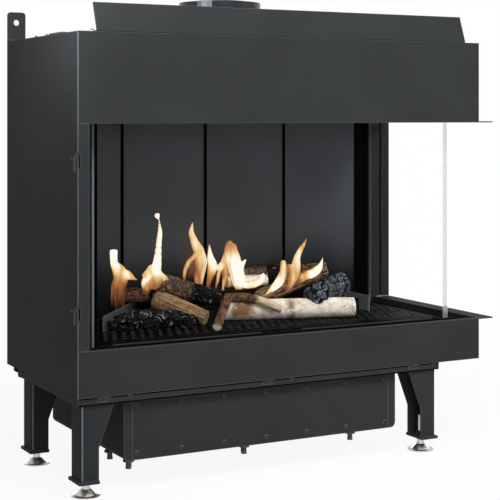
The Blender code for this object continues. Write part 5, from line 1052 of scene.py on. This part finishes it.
def flame_material():
    made = bpy.data.materials.new("flame")
    made.use_nodes = True
    tree = made.node_tree
    surface = tree.nodes["Principled BSDF"]
    core = wire(tree, "ShaderNodeAttribute", attribute_name="core").outputs["Fac"]
    heat = wire(tree, "ShaderNodeAttribute", attribute_name="warmth").outputs["Fac"]
    place = wire(tree, "ShaderNodeTexCoord").outputs["Object"]
    drawn = wire(tree, "ShaderNodeMapping", {"Vector": place, "Scale": (70.0, 20.0, 16.0)}).outputs[0]
    lick = wire(tree, "ShaderNodeTexNoise", {"Vector": drawn, "Scale": 1.0, "Detail": 3.0, "Distortion": 0.4}).outputs["Fac"]
    stir = wire(tree, "ShaderNodeMath", {0: lick, 1: 0.9, 2: -0.47}, operation="MULTIPLY_ADD").outputs[0]
    middle = wire(tree, "ShaderNodeMath", {0: core, 1: 0.74, 2: 0.38}, operation="MULTIPLY_ADD").outputs[0]
    glow = wire(tree, "ShaderNodeMath", {0: middle, 1: heat}, operation="MULTIPLY").outputs[0]
    glow = wire(tree, "ShaderNodeMath", {0: glow, 1: stir}, operation="ADD", use_clamp=True).outputs[0]
    colour = ramp(
        tree, glow, (0.0, sheen(70, 40, 26)), (0.22, sheen(150, 88, 50)), (0.42, sheen(222, 146, 84)),
        (0.58, sheen(250, 200, 128)), (0.72, sheen(255, 236, 186)), (0.86, sheen(255, 253, 240)),
    )
    rim = wire(tree, "ShaderNodeMapRange", {"Value": core, "From Min": 0.02, "From Max": 0.4}).outputs[0]
    thick = wire(tree, "ShaderNodeMath", {0: stir, 1: 0.8, 2: heat}, operation="MULTIPLY_ADD").outputs[0]
    body = wire(tree, "ShaderNodeMapRange", {"Value": thick, "From Min": 0.14, "From Max": 0.8, "To Max": 0.9}).outputs[0]
    veil = wire(tree, "ShaderNodeMath", {0: rim, 1: body}, operation="MULTIPLY").outputs[0]
    shade = wire(tree, "ShaderNodeLightPath").outputs["Is Shadow Ray"]
    lit = wire(tree, "ShaderNodeMath", {0: 1.0, 1: shade}, operation="SUBTRACT").outputs[0]
    veil = wire(tree, "ShaderNodeMath", {0: veil, 1: lit}, operation="MULTIPLY").outputs[0]
    tree.links.new(colour, surface.inputs["Emission Color"])
    tree.links.new(veil, surface.inputs["Alpha"])
    surface.inputs["Base Color"].default_value = (0.0, 0.0, 0.0, 1.0)
    surface.inputs["Emission Strength"].default_value = 1.0
    surface.inputs["Specular IOR Level"].default_value = 0.0
    surface.inputs["Roughness"].default_value = 1.0
    return made


FLAME = flame_material()
FLAME_SIDES = 20
FLAME_STEPS = 48
FLAME_GRAIN = 0.0011


def tongue(work, line, deep):
    """One flat tongue of flame along (across, high, half width, heat) stations in metres."""
    rings = []
    for i, (x, z, width, hot) in enumerate(line):
        ahead, behind = line[min(i + 1, len(line) - 1)], line[max(i - 1, 0)]
        way = Vector((ahead[0] - behind[0], 0, ahead[1] - behind[1])).normalized()
        side = Vector((way.z, 0, -way.x))
        ring = []
        for k in range(FLAME_SIDES):
            angle = 2 * math.pi * k / FLAME_SIDES
            out = Vector((x, deep + 0.55 * width * math.sin(angle), z)) + side * width * math.cos(angle)
            ring.append(work.verts.new(out))
        rings.append(ring)
    for low, high in zip(rings, rings[1:]):
        for k in range(FLAME_SIDES):
            n = (k + 1) % FLAME_SIDES
            work.faces.new((low[k], low[n], high[n], high[k]))
    work.faces.new(rings[0][::-1])
    work.faces.new(rings[-1])


def flame(name, deep, tongues):
    """A flame of several tongues grown into one sheet, this many millimetres behind the casing's front."""
    lines = []
    for line in tongues:
        rows = [(left + x / 1000, z / 1000, max(width, 0.7) / 1000, hot) for x, z, width, hot in line]
        lines.append([(x, z, max(width, 0.0007), hot) for x, z, width, hot in smooth_line(rows, FLAME_STEPS)])
    work = bmesh.new()
    for k, line in enumerate(lines):
        tongue(work, line, front + deep / 1000 + 0.0004 * k)
    bmesh.ops.recalc_face_normals(work, faces=work.faces[:])
    mesh = bpy.data.meshes.new(name)
    work.to_mesh(mesh)
    work.free()
    rough_cut = placed(name + "_tongues", mesh)
    joined = rough_cut.modifiers.new("join", "REMESH")
    joined.mode = "VOXEL"
    joined.voxel_size = FLAME_GRAIN
    eased = rough_cut.modifiers.new("ease", "SMOOTH")
    eased.iterations = 4
    sheet = bpy.data.meshes.new_from_object(rough_cut.evaluated_get(bpy.context.evaluated_depsgraph_get()))
    bpy.data.objects.remove(rough_cut)
    spots = np.zeros(len(sheet.vertices) * 3)
    sheet.vertices.foreach_get("co", spots)
    spots = spots.reshape(-1, 3)
    marks = np.array([row for line in lines for row in line])
    gap = (spots[:, None, 0] - marks[None, :, 0]) ** 2 + (spots[:, None, 2] - marks[None, :, 1]) ** 2
    near = np.clip(1 - gap / (marks[None, :, 2] * 1.04) ** 2, 0, 1)
    core = np.sqrt(near.max(axis=1))
    pull = near ** 2 + 1e-9 / (gap + 1e-7)
    warmth = (pull * np.clip(marks[None, :, 3], 0, 1)).sum(axis=1) / pull.sum(axis=1)
    for label, values in (("core", core), ("warmth", warmth)):
        sheet.attributes.new(label, "FLOAT", "POINT").data.foreach_set("value", values.astype(np.float32))
    sheet.shade_smooth()
    sheet.materials.clear()
    sheet.materials.append(FLAME)
    return fitted(placed(name, sheet), "fireplace")


flame(
    "flame_left", 330,
    (
        ((217, 496, 6.5, 0.8), (217, 492, 10, 1), (217, 478, 9.5, 1), (219, 461, 10, 0.9), (229, 446, 16, 0.7),
         (236, 429, 19, 0.55), (232, 410, 18, 0.4), (228, 370, 19, 0.25), (228, 350, 13, 0.1), (228, 330, 8, 0)),
        ((279, 420, 1, 0.5), (270, 423, 4, 0.6), (258, 430, 10, 0.7), (245, 434, 13, 0.75), (235, 429, 15, 0.6),
         (227, 415, 14, 0.45), (220, 396, 11, 0.3)),
    ),
)
flame(
    "flame_tall", 330,
    (
        ((332, 580, 1, 0.8), (332, 577, 6, 0.9), (332, 572, 7, 0.9), (335, 566, 2.5, 0.75), (337, 560, 2, 0.8),
         (339, 533, 6, 1), (336, 506, 7.5, 1), (331, 455, 12, 1), (324, 441, 19, 0.9), (321, 428, 27, 0.75),
         (316, 415, 28, 0.5), (306, 403, 16, 0.4), (303, 391, 9, 0.2), (302, 374, 6, 0)),
        ((377, 405, 1, 0.45), (366, 410, 4, 0.55), (351, 418, 8.5, 0.65), (338, 429, 9.5, 0.8), (332, 443, 8, 0.95)),
        ((333, 460, 6, 1), (320, 441, 7, 1), (306, 426, 7.5, 1), (296, 414, 6, 0.8), (293, 402, 4, 0.5)),
    ),
)
flame(
    "flame_middle", 388,
    (
        ((456, 550, 0.5, 0.6), (454, 539, 3.5, 0.7), (452, 524, 7, 0.7), (457, 509, 9, 0.7), (463, 495, 11.5, 0.7),
         (472, 478, 14.5, 0.6), (477, 460, 16, 0.55), (478, 442, 16, 0.5), (476, 422, 14.5, 0.4), (472, 402, 11, 0.4),
         (473, 384, 7.5, 0.3), (475, 367, 4.5, 0)),
        ((489, 467, 3, 0.8), (492, 449, 4, 0.85), (489, 429, 4.5, 0.8), (483, 407, 4, 0.7), (477, 369, 1.5, 0.1)),
        ((466, 469, 5.5, 0.6), (458, 460, 7, 0.6), (446, 448, 7, 0.6), (438, 434, 6, 0.6), (434, 419, 5, 0.55),
         (433, 404, 3.5, 0.3), (433, 387, 2, 0)),
        ((458, 448, 10, 0.3), (452, 431, 12.5, 0.25), (448, 414, 12, 0.2), (448, 396, 8, 0.05)),
    ),
)
flame(
    "flame_group", 345,
    (
        ((481, 497, 0.5, 0.6), (482, 486, 3.5, 0.75), (483, 474, 6, 0.9), (485, 459, 10, 0.95), (490, 443, 13, 0.85),
         (488, 428, 11.5, 0.6), (483, 409, 8, 0.4), (478, 391, 5.5, 0.25), (476, 374, 3.5, 0)),
        ((485, 456, 7, 0.8), (494, 442, 8, 0.75), (507, 436, 8.5, 0.7), (519, 442, 9.5, 0.7), (535, 471, 11.5, 0.55)),
        ((544, 502, 1, 0.45), (541, 496, 10, 0.5), (542, 486, 16.5, 0.55), (544, 471, 19, 0.65), (549, 453, 21, 0.85),
         (554, 435, 20.5, 1), (561, 414, 20, 1), (565, 396, 18, 0.8), (566, 381, 11, 0.35), (565, 363, 6.5, 0)),
        ((588, 453, 0.5, 0.7), (582, 448, 4, 0.9), (573, 438, 8.5, 1), (567, 424, 12, 1), (567, 406, 13, 1)),
        ((528, 449, 12.5, 0.5), (529, 429, 13, 0.4), (534, 408, 14, 0.35), (540, 388, 10, 0.2), (542, 370, 5.5, 0)),
        ((514, 445, 5.5, 0.7), (510, 427, 5.5, 0.6), (506, 407, 4.5, 0.5), (501, 385, 2.5, 0.3), (499, 370, 1.5, 0)),
        ((521, 447, 5.5, 0.75), (524, 424, 4.5, 0.7), (524, 404, 4.5, 0.6), (521, 381, 3.5, 0.45), (519, 361, 2, 0)),
    ),
)
flame(
    "flame_low", 350,
    (
        ((639, 415, 1, 0.7), (637, 408, 7, 1), (631, 398, 10, 1), (617, 390, 10, 0.85), (597, 387, 9.5, 0.75),
         (579, 389, 8.5, 0.8), (568, 392, 4.5, 0.4)),
    ),
)
flame(
    "flame_right", 268,
    (
        ((719, 509, 0.5, 0.45), (713, 495, 3.5, 0.55), (704, 483, 6.5, 0.65), (696, 470, 8, 0.7), (690, 456, 10, 0.75),
         (688, 441, 12.5, 0.7), (685, 423, 14, 0.6), (676, 406, 13.5, 0.5), (666, 389, 9.5, 0.4), (657, 375, 5.5, 0.3),
         (651, 362, 2.5, 0)),
        ((651, 454, 5.5, 0.55), (651, 449, 7.5, 0.6), (652, 437, 9.5, 0.7), (653, 425, 12, 0.7), (647, 410, 13.5, 0.8),
         (634, 396, 11.5, 0.95), (620, 385, 8, 0.9), (607, 376, 3.5, 0.6), (596, 367, 1.5, 0.2)),
        ((671, 443, 7.5, 0.6), (667, 429, 10.5, 0.5), (661, 412, 11.5, 0.4), (656, 394, 8.5, 0.3), (653, 379, 4.5, 0.15)),
        ((698, 448, 3, 0.8), (697, 430, 3.5, 0.75), (689, 411, 4.5, 0.7), (675, 394, 3.5, 0.6), (661, 380, 2.5, 0.4)),
    ),
)
flame(
    "flame_lick", 291,
    (
        ((781, 455, 0.5, 0.6), (778, 444, 3, 0.85), (773, 431, 7.5, 1), (763, 421, 11, 1), (748, 413, 11.5, 0.85),
         (732, 410, 11.5, 0.6), (719, 403, 10, 0.5), (709, 391, 5.5, 0.35), (702, 379, 2.5, 0.1)),
    ),
)

# Studio. A wide pale floor, a white room, a large soft lamp on the right, a narrow one on
# the left and one overhead. The camera stands level with the upper part of the casing.

floor_mesh = bpy.data.meshes.new("studio_floor")
floor_mesh.from_pydata([(-30, -30, 0), (30, -30, 0), (30, 30, 0), (-30, 30, 0)], [], [(0, 1, 2, 3)])
floor_paper = bpy.data.materials.new("studio paper")
floor_paper.use_nodes = True
tree = floor_paper.node_tree
paper = tree.nodes["Principled BSDF"]
place = wire(tree, "ShaderNodeTexCoord").outputs["Object"]
away = wire(tree, "ShaderNodeVectorMath", {0: place}, operation="LENGTH").outputs["Value"]
far = wire(tree, "ShaderNodeMapRange", {"Value": away, "From Min": 0.6, "From Max": 2.4}).outputs[0]
fibre = wire(tree, "ShaderNodeTexNoise", {"Vector": place, "Scale": 300.0, "Detail": 2.0}).outputs["Fac"]
tree.links.new(ramp(tree, fibre, (0.2, (0.86, 0.86, 0.86, 1)), (0.8, (0.9, 0.9, 0.9, 1))), paper.inputs["Base Color"])
paper.inputs["Roughness"].default_value = 0.9
paper.inputs["Specular IOR Level"].default_value = 0.0
rays = wire(tree, "ShaderNodeLightPath").outputs
seen = wire(tree, "ShaderNodeMath", {0: rays["Is Camera Ray"], 1: rays["Is Glossy Ray"]}, operation="MAXIMUM").outputs[0]
seen = wire(tree, "ShaderNodeMath", {0: seen, 1: rays["Is Transmission Ray"]}, operation="MAXIMUM").outputs[0]
white = wire(tree, "ShaderNodeEmission", {"Color": (1, 1, 1, 1), "Strength": 1.0}).outputs[0]
share = wire(tree, "ShaderNodeMapRange", {"Value": far, "To Min": 0.92, "To Max": 1.0}).outputs[0]
share = wire(tree, "ShaderNodeMath", {0: share, 1: seen}, operation="MULTIPLY").outputs[0]
mixed = wire(tree, "ShaderNodeMixShader", {0: share, 1: paper.outputs[0], 2: white}).outputs[0]
tree.links.new(mixed, tree.nodes["Material Output"].inputs["Surface"])
floor_mesh.materials.append(floor_paper)
placed("studio_floor", floor_mesh)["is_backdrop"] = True

scene = bpy.context.scene
room = bpy.data.worlds.new("studio room")
room.use_nodes = True
tree = room.node_tree
sky = tree.nodes["Background"]
rays = wire(tree, "ShaderNodeLightPath").outputs
seen = wire(tree, "ShaderNodeMath", {0: rays["Is Camera Ray"], 1: rays["Is Glossy Ray"]}, operation="MAXIMUM").outputs[0]
seen = wire(tree, "ShaderNodeMath", {0: seen, 1: rays["Is Transmission Ray"]}, operation="MAXIMUM").outputs[0]
ROOM_LIGHT = 0.13
sky.inputs["Color"].default_value = (1.0, 1.0, 1.0, 1.0)
tree.links.new(wire(tree, "ShaderNodeMapRange", {"Value": seen, "To Min": ROOM_LIGHT, "To Max": 1.0}).outputs[0], sky.inputs["Strength"])
scene.world = room


def lamp(name, spot, aim, width, height, power):
    """A rectangular soft lamp at a spot, aimed at a point."""
    light = bpy.data.lights.new(name, "AREA")
    light.shape = "RECTANGLE"
    light.size, light.size_y, light.energy = width, height, power
    made = bpy.data.objects.new(name, light)
    made.location = spot
    made.rotation_euler = (Vector(aim) - Vector(spot)).to_track_quat("-Z", "Y").to_euler()
    made.visible_camera = False
    bpy.context.collection.objects.link(made)


middle = (0.0, 0.0, 0.55)
lamp("key_lamp", (2.3, -2.1, 2.2), (0.1, 0, 0.8), 1.2, 1.0, 46)
lamp("front_lamp", (-0.3, -1.75, 2.35), middle, 1.4, 0.9, 44)
lamp("fill_lamp", (-0.9, -4.2, 0.6), middle, 2.2, 0.8, 29)
lamp("right_lamp", (3.9, 0.8, 0.55), middle, 1.2, 0.8, 34)
lamp("back_lamp", (1.5, 4.2, 0.5), middle, 2.0, 0.8, 60)
lamp("overhead_lamp", (0.2, -0.6, 3.0), middle, 2.0, 1.6, 3)
lamp("flue_lamp", (-0.76, -0.26, 1.14), (-0.074, 0.026, 1.07), 0.4, 0.22, 2.4)

lens = bpy.data.cameras.new("camera")
lens.sensor_width = 36
lens.lens = 98.626
lens.shift_y = -0.266
camera = bpy.data.objects.new("camera", lens)
camera.location = (-1.5937, -2.9677, 0.8146)
camera.rotation_euler = (math.radians(90), 0, math.radians(-28.18))
bpy.context.collection.objects.link(camera)
scene.camera = camera
scene.view_settings.view_transform = "Standard"

low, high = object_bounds()
